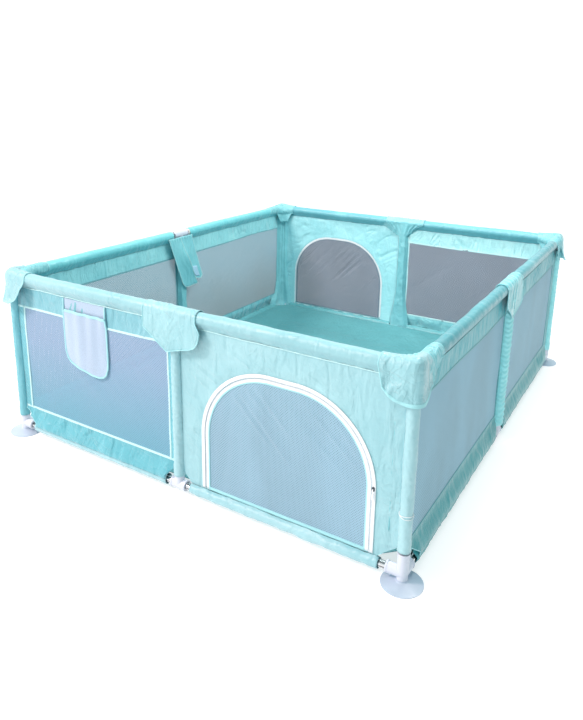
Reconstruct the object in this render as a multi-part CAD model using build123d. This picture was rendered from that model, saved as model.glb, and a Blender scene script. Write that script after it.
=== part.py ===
from build123d import *
import os
from math import sqrt

# A rectangular fabric playpen on a plug-together frame of steel tubes.
# Origin: the middle of the footprint, on the floor.  +X runs along the front
# wall, +Y from the front wall to the back wall, +Z up.  Millimetres.
#
# Every wall is built in its own wall frame and then placed:
#   X along the wall (to the right, seen from outside), -Y outward, Z up.

# ---- driving dimensions -------------------------------------------------
WIDTH = 1500.0            # front wall, corner post axis to corner post axis
DEPTH = 1800.0            # side wall, corner post axis to corner post axis
TOP_AXIS = 602.0          # height of the top rail axis
BOTTOM_AXIS = 34.0        # height of the bottom rail axis

TUBE_R = 11.0             # steel tube, outside radius
TUBE_WALL = 1.0
TUBE_INSET = 13.0         # a tube stops this far from a post axis
SOCKET_R = 16.0           # plastic connector socket, outside radius
SOCKET_LENGTH = 45.0
POST_SOCKET_LENGTH = 60.0 # the lower connectors hold the posts deeper
LOW_TEE_LENGTH = 29.0     # level sockets of a lower tee: the tubes show beside them
SOCKET_FIT = 0.3          # gap between tube and socket
LIP_R = 17.3
LIP_LENGTH = 5.0

FOOT_R = 57.0             # suction foot, pressed flat on the floor
FOOT_RIM = 2.5
FOOT_NECK_R = 15.0
FOOT_TOP = 16.0           # where the foot meets its connector
PEG_R = 5.0
PEG_LENGTH = 9.0

TOP_SLEEVE_R = 19.0       # padded sleeve on the top rail
BOTTOM_SLEEVE_R = 15.5    # sleeve on the bottom rail
POST_SLEEVE_R = 16.5      # padded sleeve on a post
SLEEVE_BORE_R = 11.4
SLEEVE_CLOTH = 1.0
FOAM_FIT = 0.2
SLEEVE_END = 48.0         # a rail sleeve stops this far from a post axis
CORNER_CUT = 66.0         # a bottom sleeve stops further from a corner post
POST_SLEEVE_LOW = 98.0
POST_SLEEVE_HIGH = 554.0

CLOTH = 2.0               # thickness of the wall cloth
MESH = 1.0                # thickness of the see-through mesh
POST_SIDE = 17.7          # where a wall panel starts beside a post axis
SEAM_HIGH = 570.0         # seam under the top rail
WINDOW_TOP = 497.0        # lower edge of the top band
WINDOW_LOW = 108.0        # upper edge of the bottom band
BAND_OVER_ARM = 51.8      # lowest cloth beside a connector arm
BAND_UNDER_ARM = 582.0    # highest cloth below a connector arm
CLOTH_GAP = 0.3

DOOR_MIDDLE = 380.0       # arched door, from the middle of its wall
DOOR_HALF = 273.0
DOOR_TOP = 470.0
DOOR_ROUND = 230.0        # radius of the two upper corners
DOOR_LOW = 56.0           # the fold that the door leaf turns on
DOOR_FOLD_ROOM = 3.5      # room under the leaf's lower edge for the fold
ZIP_TAPE = 12.0
ZIP_GAP = 2.0             # half the gap between the two zip tapes
ZIP_THICK = 1.4

SLIDER_HIGH = 247.0       # height of the slider when the zip is closed
PULL_LENGTH = 30.0

POCKET_MIDDLE = -390.0    # storage pocket, from the middle of the front wall
POCKET_WIDTH = 200.0
POCKET_TOP = 568.0        # where its back panel hangs from the seam
POCKET_HIGH = 524.0       # its mouth
POCKET_LOW = 318.0
POCKET_DEPTH = 22.0
POCKET_CLOTH = 1.5
POCKET_ROUND = 45.0

FLAP_HALF = 108.0         # half the width of a middle flap
FLAP_LOW = 486.0          # its lowest corner, left of the post
FLAP_CUT_HIGH = 549.0     # where its slanted left edge starts
FLAP_RIGHT_LOW = 503.0    # its lower edge rises to the right
FLAP_HINGE = 612.0
FLAP_OUT = 22.0           # outward offset of a hanging flap
FLAP_ROUND = 38.0
FLAP_CLOTH = 2.0
SADDLE_R = 22.0           # fixed half of a flap, over the rail
OPEN_FLAP_LOW = 345.0     # the one flap that is folded back hangs inside
OPEN_FLAP_HINGE = 596.0

HOOD_FRONT = 88.0         # reach of a corner hood along the short wall
HOOD_SIDE = 52.0          # and along the long wall
HOOD_LOW = 515.0
HOOD_TOP = 626.0

FLOOR_INSET = 18.0
FLOOR_CORNER = 70.0
FLOOR_CLOTH = 2.0

# ---- places --------------------------------------------------------------
WALLS = {
    "front": (WIDTH, Location((0, -DEPTH / 2, 0), (0, 0, 0))),
    "right": (DEPTH, Location((WIDTH / 2, 0, 0), (0, 0, 90))),
    "back": (WIDTH, Location((0, DEPTH / 2, 0), (0, 0, 180))),
    "left": (DEPTH, Location((-WIDTH / 2, 0, 0), (0, 0, 270))),
}
CORNERS = {
    "front_right": (1, -1),
    "back_right": (1, 1),
    "back_left": (-1, 1),
    "front_left": (-1, -1),
}
MIDDLES = {
    "front": (0, -1),
    "right": (1, 0),
    "back": (0, 1),
    "left": (-1, 0),
}
DOOR_WALLS = ("front", "back")
OPEN_FLAP = "left"


def post_point(sides):
    """The post axis on the sides given as (-1, 0 or 1, -1, 0 or 1)."""
    return (sides[0] * WIDTH / 2, sides[1] * DEPTH / 2)


def wall_halves(wall):
    """The two stretches between the posts of a wall, as (start, end, side)."""
    reach = WALLS[wall][0] / 2
    return [(-reach, 0.0, -1), (0.0, reach, 1)]


# ---- small shapes ----------------------------------------------------------
def bar(radius, start, end, height):
    """A solid round bar along X, from start to end, at a height."""
    length = end - start
    middle = (start + end) / 2
    return Pos(middle, 0, height) * Rot(0, 90, 0) * Cylinder(radius, length)


def pipe(outer, inner, start, end, height):
    """A round pipe along X."""
    return bar(outer, start, end, height) - bar(inner, start - 1, end + 1, height)


def upright_pipe(outer, inner, low, high):
    """A round pipe along Z on the origin."""
    length = high - low
    middle = (low + high) / 2
    return Pos(0, 0, middle) * (Cylinder(outer, length) - Cylinder(inner, length + 2))


def sheet(outline, thickness, outward=0.0):
    """A flat outline of (x, z) points, thickened about a plane set outward."""
    face = make_face(Polyline(*[(x, z) for x, z in outline], close=True))
    return lift(face, thickness, outward)


def lift(face, thickness, outward=0.0):
    """Stand a flat face up in the wall plane and thicken it."""
    solid = extrude(Plane.XZ * face, amount=thickness / 2, both=True)
    return Pos(0, -outward, 0) * solid


def block(x0, x1, out0, out1, z0, z1):
    """A box between two x, two outward offsets and two heights."""
    box = Box(x1 - x0, out1 - out0, z1 - z0)
    return Pos((x0 + x1) / 2, -(out0 + out1) / 2, (z0 + z1) / 2) * box


def arch_face(grow, low):
    """The door outline, grown outward by grow, from the height low up."""
    half = DOOR_HALF + grow
    top = DOOR_TOP + grow
    radius = DOOR_ROUND + grow
    rectangle = Pos(DOOR_MIDDLE, (low + top) / 2) * Rectangle(2 * half, top - low)
    upper = rectangle.vertices().sort_by(Axis.Y)[-2:]
    return fillet(upper, radius)


def group(solids):
    """Several separate solids in one node."""
    return Compound(children=[piece.solid() for piece in solids])


NODES = {}


def add(name, solids):
    """Keep a node: one solid, or a list of separate solids."""
    if isinstance(solids, list) and len(solids) > 1:
        NODES[name] = group(solids)
    elif isinstance(solids, list):
        NODES[name] = solids[0].solid()
    else:
        NODES[name] = solids.solid()


# ---- steel tubes -------------------------------------------------------------
def rail_tubes(wall, height):
    place = WALLS[wall][1]
    tubes = []
    for start, end, side in wall_halves(wall):
        tube = pipe(TUBE_R, TUBE_R - TUBE_WALL, start + TUBE_INSET, end - TUBE_INSET, height)
        tubes.append(place * tube)
    return tubes


def upright_tube(sides):
    x, y = post_point(sides)
    low = BOTTOM_AXIS + TUBE_INSET
    high = TOP_AXIS - TUBE_INSET
    return Pos(x, y, 0) * upright_pipe(TUBE_R, TUBE_R - TUBE_WALL, low, high)


# ---- plastic connectors --------------------------------------------------------
def stub(radius, length):
    """A cylinder that stands on the origin along +Z."""
    return Cylinder(radius, length, align=(Align.CENTER, Align.CENTER, Align.MIN))


def aim(solid, way):
    """Turn a solid from +Z to a unit direction, about the origin."""
    return Plane(origin=(0, 0, 0), z_dir=way) * solid


def socket_length(way, level=SOCKET_LENGTH):
    return POST_SOCKET_LENGTH if way[2] > 0 else level


def socket_bore(way):
    bore = stub(TUBE_R + SOCKET_FIT, socket_length(way))
    return aim(Pos(0, 0, TUBE_INSET - SOCKET_FIT) * bore, way)


def connector(directions, height, level=SOCKET_LENGTH):
    """Sockets from one hub along the given unit directions."""
    hub = Sphere(SOCKET_R)
    for way in directions:
        length = socket_length(way, level)
        lip = Pos(0, 0, length - LIP_LENGTH) * stub(LIP_R, LIP_LENGTH)
        hub += aim(stub(SOCKET_R, length) + lip, way)
    for way in directions:
        hub -= socket_bore(way)
    return Pos(0, 0, height) * hub


def corner_ways(sides, up):
    return [(-sides[0], 0, 0), (0, -sides[1], 0), (0, 0, up)]


def middle_ways(sides, up):
    along = (0, 1, 0) if sides[0] else (1, 0, 0)
    back = (0, -1, 0) if sides[0] else (-1, 0, 0)
    return [along, back, (0, 0, up)]


def lower_corner_connector(sides):
    """A three-way connector with a boss and a hole for the foot's peg."""
    ways = corner_ways(sides, 1)
    body = connector(ways, BOTTOM_AXIS)
    body += Pos(0, 0, FOOT_TOP) * stub(FOOT_NECK_R, BOTTOM_AXIS - FOOT_TOP)
    for way in ways[:2]:
        body -= Pos(0, 0, BOTTOM_AXIS) * socket_bore(way)
    body -= Pos(0, 0, FOOT_TOP) * stub(PEG_R + SOCKET_FIT, PEG_LENGTH + 1)
    x, y = post_point(sides)
    return Pos(x, y, 0) * body


def plain_connector(sides, ways, height, level=SOCKET_LENGTH):
    x, y = post_point(sides)
    return Pos(x, y, 0) * connector(ways, height, level)


def lower_tee(sides):
    return plain_connector(sides, middle_ways(sides, 1), BOTTOM_AXIS, LOW_TEE_LENGTH)


def suction_foot(sides):
    """A round cup with a thin rim, a domed back, a neck and a peg."""
    profile = Polyline((0, 0), (FOOT_R, 0), (FOOT_R, FOOT_RIM))
    dome = ThreePointArc((FOOT_R, FOOT_RIM), (FOOT_R * 0.62, FOOT_RIM + 4.5), (FOOT_NECK_R + 4, 10))
    neck = Polyline((FOOT_NECK_R + 4, 10), (FOOT_NECK_R, 12), (FOOT_NECK_R, FOOT_TOP))
    peg_high = FOOT_TOP + PEG_LENGTH
    peg = Polyline((FOOT_NECK_R, FOOT_TOP), (PEG_R, FOOT_TOP), (PEG_R, peg_high), (0, peg_high), (0, 0))
    face = make_face([profile, dome, neck, peg])
    cup = revolve(Plane.XZ * face, Axis.Z, 360)
    x, y = post_point(sides)
    return Pos(x, y, 0) * cup


# ---- padding and sleeves ---------------------------------------------------------
def foam_tubes(wall):
    place = WALLS[wall][1]
    outer = TOP_SLEEVE_R - SLEEVE_CLOTH - FOAM_FIT
    tubes = []
    for start, end, side in wall_halves(wall):
        tube = pipe(outer, SLEEVE_BORE_R, start + SLEEVE_END, end - SLEEVE_END, TOP_AXIS)
        tubes.append(place * tube)
    return tubes


def top_sleeve(wall):
    """Cloth round the foam, with the band that hangs under it."""
    place = WALLS[wall][1]
    inner = TOP_SLEEVE_R - SLEEVE_CLOTH
    root = TOP_AXIS - TOP_SLEEVE_R + SLEEVE_CLOTH / 2
    pieces = []
    for start, end, side in wall_halves(wall):
        low = WINDOW_TOP
        if wall in DOOR_WALLS and side == 1:
            low = SEAM_HIGH
        x0 = start + POST_SIDE
        x1 = end - POST_SIDE
        a = start + SLEEVE_END
        b = end - SLEEVE_END
        flat = BAND_UNDER_ARM
        outline = [(x0, low), (x1, low), (x1, flat), (b, flat), (b, root), (a, root), (a, flat), (x0, flat)]
        piece = pipe(TOP_SLEEVE_R, inner, a, b, TOP_AXIS) + sheet(outline, CLOTH)
        pieces.append(place * piece)
    return pieces


def bottom_sleeve(wall):
    """Cloth round the bottom rail, with the band that stands over it."""
    place = WALLS[wall][1]
    root = BOTTOM_AXIS + BOTTOM_SLEEVE_R - SLEEVE_CLOTH
    pieces = []
    for start, end, side in wall_halves(wall):
        high = WINDOW_LOW
        if wall in DOOR_WALLS and side == 1:
            high = DOOR_LOW - DOOR_FOLD_ROOM
        a = start + (CORNER_CUT if side == -1 else SLEEVE_END)
        b = end - (CORNER_CUT if side == 1 else SLEEVE_END)
        piece = pipe(BOTTOM_SLEEVE_R, SLEEVE_BORE_R, a, b, BOTTOM_AXIS)
        # The cloth is cut back on a slant beside a corner post.
        slant = min(CORNER_CUT - POST_SIDE, high - BAND_OVER_ARM)
        left = [(start + POST_SIDE, high), (start + POST_SIDE, BAND_OVER_ARM), (a, BAND_OVER_ARM)]
        right = [(b, BAND_OVER_ARM), (end - POST_SIDE, BAND_OVER_ARM), (end - POST_SIDE, high)]
        if side == -1:
            left = [(a - slant, high), (a - slant, BAND_OVER_ARM + slant), (a, BAND_OVER_ARM)]
            if high - BAND_OVER_ARM <= slant:
                left = left[1:]
        if side == 1:
            right = [(b, BAND_OVER_ARM), (b + slant, BAND_OVER_ARM + slant), (b + slant, high)]
            if high - BAND_OVER_ARM <= slant:
                right = right[:2]
        outline = left + [(a, root), (b, root)] + right
        piece += sheet(outline, CLOTH)
        pieces.append(place * piece)
    return pieces


def post_sleeve(sides):
    x, y = post_point(sides)
    return Pos(x, y, 0) * upright_pipe(POST_SLEEVE_R, SLEEVE_BORE_R, POST_SLEEVE_LOW, POST_SLEEVE_HIGH)


# ---- wall panels --------------------------------------------------------------------
def window_mesh(wall):
    place = WALLS[wall][1]
    panels = []
    for start, end, side in wall_halves(wall):
        if wall in DOOR_WALLS and side == 1:
            continue
        x0 = start + POST_SIDE
        x1 = end - POST_SIDE
        z0 = WINDOW_LOW + CLOTH_GAP
        z1 = WINDOW_TOP - CLOTH_GAP
        panels.append(place * sheet([(x0, z0), (x1, z0), (x1, z1), (x0, z1)], MESH))
    return panels


def door_surround(wall):
    """The cloth panel round the arched door."""
    place = WALLS[wall][1]
    reach = WALLS[wall][0] / 2
    x0 = POST_SIDE
    x1 = reach - POST_SIDE
    slant = x1 - (reach - CORNER_CUT)
    high = SEAM_HIGH - CLOTH_GAP
    low = DOOR_LOW
    outline = [(x0, low), (x1 - slant, low), (x1, low + slant), (x1, high), (x0, high)]
    opening = lift(arch_face(ZIP_GAP, low - 1), 4 * CLOTH)
    return place * (sheet(outline, CLOTH) - opening)


def zip_band(inner, outer, low):
    """A band that follows the door outline, on the outer face of the cloth."""
    band = arch_face(outer, low) - arch_face(inner, low - 1)
    return lift(band, ZIP_THICK, CLOTH / 2 + ZIP_THICK / 2)


def zip_tape(wall):
    """The half of the zip that is sewn to the surround."""
    return WALLS[wall][1] * zip_band(ZIP_GAP / 2, ZIP_TAPE, DOOR_LOW)


def door_leaf(wall):
    """The mesh leaf with its half of the zip along the edge."""
    low = DOOR_LOW + CLOTH_GAP
    leaf = lift(arch_face(-ZIP_GAP, low), CLOTH)
    leaf += zip_band(-ZIP_TAPE, -ZIP_GAP / 2, low)
    return WALLS[wall][1] * leaf


# ---- zip slider and pull --------------------------------------------------------------
ZIP_LEG = DOOR_MIDDLE + DOOR_HALF      # the straight leg nearer the corner post
SLIDER_BACK = CLOTH / 2 + ZIP_THICK + 0.4
SLIDER_FRONT = SLIDER_BACK + 3.0
SLIDER_AXIS = 5.5         # its middle, outward along the wall from the leg
LUG_GAP = 1.7             # half the gap between the lugs
LUG = 1.4
PIN_OUT = SLIDER_FRONT + 2.2
PIN_R = 0.9
EYE_R = 1.9
NECK_END = 12.0           # the pull's neck widens into its tab here


def pin(radius, length):
    """A round bar along the hinge of the pull."""
    return Pos(SLIDER_AXIS, -PIN_OUT, 0) * Rot(0, 90, 0) * Cylinder(radius, length)


def zip_slider(wall):
    """A slider on the fixed tape, with two lugs and a pin for the pull."""
    body = block(SLIDER_AXIS - 3.5, SLIDER_AXIS + 3.5, SLIDER_BACK, SLIDER_FRONT, -6, 6)
    body = fillet(body.edges().filter_by(Axis.Y), 2.0)
    for x in (SLIDER_AXIS - LUG_GAP - LUG, SLIDER_AXIS + LUG_GAP):
        body += block(x, x + LUG, SLIDER_FRONT, PIN_OUT + PIN_R + 0.6, -2, 2)
    body += pin(PIN_R, 2 * LUG_GAP + LUG)
    return WALLS[wall][1] * Pos(ZIP_LEG, 0, SLIDER_HIGH) * body


def zip_pull(wall):
    """A flat tab on an eye that turns on the slider's pin."""
    eye = pin(EYE_R, 2 * LUG_GAP - 0.8)
    neck = block(SLIDER_AXIS - 1.2, SLIDER_AXIS + 1.2, PIN_OUT - 0.8, PIN_OUT + 0.8, -NECK_END - 2, 0)
    tab = block(SLIDER_AXIS - 2.7, SLIDER_AXIS + 2.7, PIN_OUT - 1.0, PIN_OUT + 1.0, -PULL_LENGTH, -NECK_END)
    tab = fillet(tab.edges().filter_by(Axis.Y), 1.6)
    pull = eye + neck + tab - pin(PIN_R + 0.25, 4 * LUG_GAP)
    return WALLS[wall][1] * Pos(ZIP_LEG, 0, SLIDER_HIGH) * pull


# ---- storage pocket -------------------------------------------------------------------
def pocket_face(shrink, high):
    """The pocket outline with rounded lower corners."""
    width = POCKET_WIDTH - 2 * shrink
    low = POCKET_LOW + shrink
    rectangle = Pos(POCKET_MIDDLE, (low + high) / 2) * Rectangle(width, high - low)
    lower = rectangle.vertices().sort_by(Axis.Y)[:2]
    return fillet(lower, POCKET_ROUND - shrink)


def storage_pocket():
    """A shallow bag, open at the top, whose back panel hangs from the seam."""
    back = CLOTH / 2 + CLOTH_GAP
    shell = lift(pocket_face(0, POCKET_HIGH), POCKET_DEPTH, back + POCKET_DEPTH / 2)
    hollow_depth = POCKET_DEPTH - 2 * POCKET_CLOTH
    hollow = lift(pocket_face(POCKET_CLOTH, POCKET_HIGH + 5), hollow_depth, back + POCKET_DEPTH / 2)
    half = POCKET_WIDTH / 2
    panel = block(
        POCKET_MIDDLE - half, POCKET_MIDDLE + half, back, back + POCKET_CLOTH, POCKET_HIGH - 1, POCKET_TOP
    )
    return WALLS["front"][1] * (shell - hollow + panel)


# ---- connector flaps ---------------------------------------------------------------------
def closed_leaf():
    """The hanging half of a closed flap: a slanted left edge and a round right corner."""
    left = (-FLAP_HALF, FLAP_CUT_HIGH)
    lowest = (-POST_SIDE, FLAP_LOW)
    right = (FLAP_HALF, FLAP_RIGHT_LOW)
    top = [(FLAP_HALF, FLAP_HINGE), (-FLAP_HALF, FLAP_HINGE)]
    face = make_face(Polyline(left, lowest, right, *top, close=True))
    corner = face.vertices().sort_by_distance((FLAP_HALF, FLAP_RIGHT_LOW, 0))[0]
    return lift(fillet(corner, FLAP_ROUND), FLAP_CLOTH, FLAP_OUT)


def open_leaf():
    """The flap that is folded back: it hangs its full length inside."""
    height = OPEN_FLAP_HINGE - OPEN_FLAP_LOW
    rectangle = Pos(0, OPEN_FLAP_LOW + height / 2) * Rectangle(2 * FLAP_HALF, height)
    lower = rectangle.vertices().sort_by(Axis.Y)[:2]
    return lift(fillet(lower, FLAP_ROUND), FLAP_CLOTH, -FLAP_OUT)


def middle_flap(wall):
    """The swinging half of a flap over a middle post."""
    leaf = open_leaf() if wall == OPEN_FLAP else closed_leaf()
    return WALLS[wall][1] * leaf


def flap_saddle(wall):
    """The sewn half of a flap, a shell that lies over the rail."""
    outer = Circle(SADDLE_R)
    inner = Circle(SADDLE_R - FLAP_CLOTH)
    below = Pos(0, -SADDLE_R) * Rectangle(6 * SADDLE_R, 2 * SADDLE_R)
    outside = Pos(SADDLE_R + 16.5, 0) * Rectangle(2 * SADDLE_R, 4 * SADDLE_R)
    section = outer - inner - below - outside
    shell = extrude(Plane.YZ * Pos(0, 0) * mirror(section, Plane.YZ), amount=FLAP_HALF, both=True)
    return WALLS[wall][1] * Pos(0, 0, TOP_AXIS) * shell


def corner_hood(sides):
    """A cap over a corner: a flat top and two skirts outside the rails."""
    out = FLAP_OUT + FLAP_CLOTH / 2
    inside = FLAP_OUT - FLAP_CLOTH / 2
    legs = Pos(HOOD_FRONT / 2, 0) * Rectangle(HOOD_FRONT, 2 * out)
    legs += Pos(0, HOOD_SIDE / 2) * Rectangle(2 * out, HOOD_SIDE)
    legs += Circle(out)
    legs += Pos(-out / 2, out / 2) * Rectangle(out, out)
    cavity = Pos(HOOD_FRONT / 2, 3) * Rectangle(HOOD_FRONT + 20, 2 * inside + 6)
    cavity += Pos(3, HOOD_SIDE / 2) * Rectangle(2 * inside + 6, HOOD_SIDE + 20)
    cavity += Circle(inside)
    height = HOOD_TOP - HOOD_LOW
    cap = extrude(legs, amount=height)
    cap -= extrude(cavity, amount=height - FLAP_CLOTH)
    cap = Pos(0, 0, HOOD_LOW) * cap
    # Drawn for a corner whose walls run along +X and +Y, then turned round.
    x, y = post_point(sides)
    if sides[0] == 1:
        cap = mirror(cap, Plane.YZ)
    if sides[1] == 1:
        cap = mirror(cap, Plane.XZ)
    return Pos(x, y, 0) * cap


# ---- floor ---------------------------------------------------------------------------------
def floor_cloth():
    x = WIDTH / 2 - FLOOR_INSET
    y = DEPTH / 2 - FLOOR_INSET
    outline = Rectangle(2 * x, 2 * y)
    outline = chamfer(outline.vertices(), FLOOR_CORNER)
    return extrude(outline, amount=FLOOR_CLOTH)


# ---- assembly --------------------------------------------------------------------------------
for wall in WALLS:
    add("top_rail_" + wall, rail_tubes(wall, TOP_AXIS))
    add("bottom_rail_" + wall, rail_tubes(wall, BOTTOM_AXIS))
    add("top_sleeve_" + wall, top_sleeve(wall))
    add("bottom_sleeve_" + wall, bottom_sleeve(wall))
    add("window_mesh_" + wall, window_mesh(wall))
    add("flap_" + wall + "_middle", middle_flap(wall))

for name, sides in CORNERS.items():
    add("upright_" + name, upright_tube(sides))
    add("lower_connector_" + name, lower_corner_connector(sides))
    add("flap_" + name, corner_hood(sides))

for name, sides in MIDDLES.items():
    add("upright_" + name + "_middle", upright_tube(sides))

add("suction_feet", [suction_foot(sides) for sides in CORNERS.values()])
add("lower_tee_connectors", [lower_tee(sides) for sides in MIDDLES.values()])
add("upper_corner_connectors", [plain_connector(s, corner_ways(s, -1), TOP_AXIS) for s in CORNERS.values()])
add("upper_tee_connectors", [plain_connector(s, middle_ways(s, -1), TOP_AXIS) for s in MIDDLES.values()])
add("post_sleeves", [post_sleeve(s) for s in list(CORNERS.values()) + list(MIDDLES.values())])
add("rail_foam", [tube for wall in WALLS for tube in foam_tubes(wall)])
add("flap_saddles", [flap_saddle(wall) for wall in WALLS if wall != OPEN_FLAP])

for wall in DOOR_WALLS:
    add("door_surround_" + wall, door_surround(wall))
    add("door_leaf_" + wall, door_leaf(wall))
    add("zip_tape_" + wall, zip_tape(wall))
    add("zip_slider_" + wall, zip_slider(wall))
    add("zip_pull_" + wall, zip_pull(wall))

add("storage_pocket", storage_pocket())
add("floor_cloth", floor_cloth())

os.makedirs("parts", exist_ok=True)
for name, shape in NODES.items():
    export_step(shape, "parts/" + name + ".step")
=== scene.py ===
import math

import bpy
import numpy as np
from mathutils import Matrix, Vector


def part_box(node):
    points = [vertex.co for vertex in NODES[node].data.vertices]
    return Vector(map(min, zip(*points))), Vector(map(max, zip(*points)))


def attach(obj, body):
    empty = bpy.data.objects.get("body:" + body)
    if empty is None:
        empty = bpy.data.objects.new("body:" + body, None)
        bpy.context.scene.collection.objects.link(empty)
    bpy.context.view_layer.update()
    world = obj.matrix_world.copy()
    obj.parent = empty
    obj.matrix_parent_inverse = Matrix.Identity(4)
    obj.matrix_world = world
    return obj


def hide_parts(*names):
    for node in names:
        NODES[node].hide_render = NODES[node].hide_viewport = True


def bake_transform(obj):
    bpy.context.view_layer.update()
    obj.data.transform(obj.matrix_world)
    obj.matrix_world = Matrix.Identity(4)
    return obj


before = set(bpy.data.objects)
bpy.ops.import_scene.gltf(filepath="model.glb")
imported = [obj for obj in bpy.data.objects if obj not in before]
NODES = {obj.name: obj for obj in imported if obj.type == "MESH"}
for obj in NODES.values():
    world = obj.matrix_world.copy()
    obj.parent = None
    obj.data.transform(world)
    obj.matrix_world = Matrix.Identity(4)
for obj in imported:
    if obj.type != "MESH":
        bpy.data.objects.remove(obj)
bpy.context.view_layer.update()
ROOT = "frame_and_cloth"
TURN = 2 * math.pi

# ---- where things are, from the frame (metres) ----


def middle(node):
    """The middle of a CAD piece's box."""
    low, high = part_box(node)
    return (low + high) / 2


HALF_WIDTH = middle("upright_front_right").x
HALF_DEPTH = -middle("upright_front_right").y
TOP_AXIS = middle("top_rail_front").z
LOW_AXIS = middle("bottom_rail_front").z
# each wall: its middle, the way along it (right, seen from outside), the way out, half its length
WALLS = {
    "front": ((0, -HALF_DEPTH), (1, 0), (0, -1), HALF_WIDTH),
    "right": ((HALF_WIDTH, 0), (0, 1), (1, 0), HALF_DEPTH),
    "back": ((0, HALF_DEPTH), (-1, 0), (0, 1), HALF_WIDTH),
    "left": ((-HALF_WIDTH, 0), (0, -1), (-1, 0), HALF_DEPTH),
}
DOOR_WALLS = ("front", "back")
CORNERS = {
    "front_right": (1, -1),
    "back_right": (1, 1),
    "back_left": (-1, 1),
    "front_left": (-1, -1),
}

RAIL_END = 0.048          # the rail covers stop this far from the posts
RAIL_R = 0.0197           # padded rail cover
FOAM_END = 0.052          # the foam under it stops this far from the posts
FOAM_R, FOAM_BORE = 0.0176, 0.0115
SEAM = 0.570              # where the rail cover is sewn to the band
WINDOW_TOP = 0.497        # the nets' upper and lower edges
WINDOW_LOW = 0.110
POST_EDGE = 0.0172        # the wall cloth stops at the post sleeves
HEM = 0.0535              # top of the bottom rail cover
DOOR_HEM = 0.0503         # by a door it is sewn lower, so that the leaf can fold down over it
CUT_HIGH = 0.100          # the corner cut in the lower band: its top and its width
CUT_WIDE = 0.078
STRIP_WIDE = 0.050        # cloth strip beside a corner post, and where it is cut otherwise
STRIP_CUT = {("right", -1): 0.0265, ("right", 1): 0.078}
STRIP_SLIM = 0.033        # and beside a middle post
DOOR_MIDDLE = 0.380       # the door: its middle along the wall, half width, top, corner radius, hem
DOOR_HALF = 0.273
DOOR_TOP = 0.470
DOOR_ROUND = 0.230
DOOR_LOW = 0.0565
TAPE = 0.0115             # width of a zip tape
STEP = 0.006              # spacing of the points along a cover or a band
LAP = 0.002               # the net reaches this far into the cloth round it
SKIRT_R = 0.0156          # bottom rail cover
SKIN_R = 0.0226           # inside of a flap where it lies round a top rail
POST_R, THICK_POST_R = 0.0166, 0.0235
POST_TOP = 0.553          # top of the post sleeves
CLOTH_THICK = 0.0016

# ---- smooth noise, the same on every run ----


def lattice(i, j, seed):
    """A value from -1 to 1 for each corner of the noise's squares."""
    h = np.sin(i * 127.1 + j * 311.7 + seed * 74.7) * 43758.5453
    return 2 * (h - np.floor(h)) - 1


def noise(x, y, seed=0):
    """Smooth noise from -1 to 1 with a grain of one unit."""
    i, j = np.floor(x), np.floor(y)
    u, v = x - i, y - j
    u, v = u * u * (3 - 2 * u), v * v * (3 - 2 * v)
    low = lattice(i, j, seed) * (1 - u) + lattice(i + 1, j, seed) * u
    high = lattice(i, j + 1, seed) * (1 - u) + lattice(i + 1, j + 1, seed) * u
    return low * (1 - v) + high * v


def creases(x, y, tilt, long, wide, seed=0):
    """Sharp creases that run at a tilt (degrees), from 0 to 1."""
    c, s = math.cos(math.radians(tilt)), math.sin(math.radians(tilt))
    a, b = x * c + y * s, -x * s + y * c
    b = b + 0.35 * wide * noise(a / long * 1.7, b / wide * 0.5, seed + 5)
    ridge = 1 - np.abs(noise(a / long, b / wide, seed)) * 2.2
    return np.clip(ridge, 0, 1) ** 2


def ease(x):
    """From 0 to 1, slow at both ends."""
    x = np.clip(x, 0, 1)
    return x * x * (3 - 2 * x)


def bulge(x):
    """Half a sine wave as x goes from 0 to 1."""
    return np.sin(math.pi * np.clip(x, 0, 1))


# ---- mesh pieces ----


def pairs(a, b):
    """A grid of the values of two ranges."""
    return np.meshgrid(a, b, indexing="ij")


def put(wall, s, d, z):
    """Points of a wall: s along it, d outward, z up."""
    origin, along, out, _ = WALLS[wall]
    s, d, z = np.broadcast_arrays(s, d, z)
    x = origin[0] + s * along[0] + d * out[0]
    y = origin[1] + s * along[1] + d * out[1]
    return np.stack([x, y, z], -1)


def put_corner(corner, a, b, z):
    """Points by a corner: a and b inward from its post's axis along X and Y, z up."""
    sx, sy = CORNERS[corner]
    return np.stack([sx * (HALF_WIDTH - a), sy * (HALF_DEPTH - b), z], -1)


def hem_line(p):
    """The points of a grid along its first row, its last column and back along its last row."""
    return np.concatenate([p[0], p[1:, -1], p[-1, ::-1][1:]])


def half_name(kind, wall, side):
    """The name of a piece that covers one half of a wall."""
    return f"{kind}_{wall}_{'a' if side < 0 else 'b'}"


def grid_normals(p, close_u, close_v):
    """The way out at each point of a grid."""
    def slope(axis, closed):
        if closed:
            return np.roll(p, -1, axis) - np.roll(p, 1, axis)
        return np.gradient(p, axis=axis)

    n = np.cross(slope(0, close_u), slope(1, close_v))
    return n / np.maximum(np.linalg.norm(n, axis=-1, keepdims=True), 1e-12)


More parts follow.
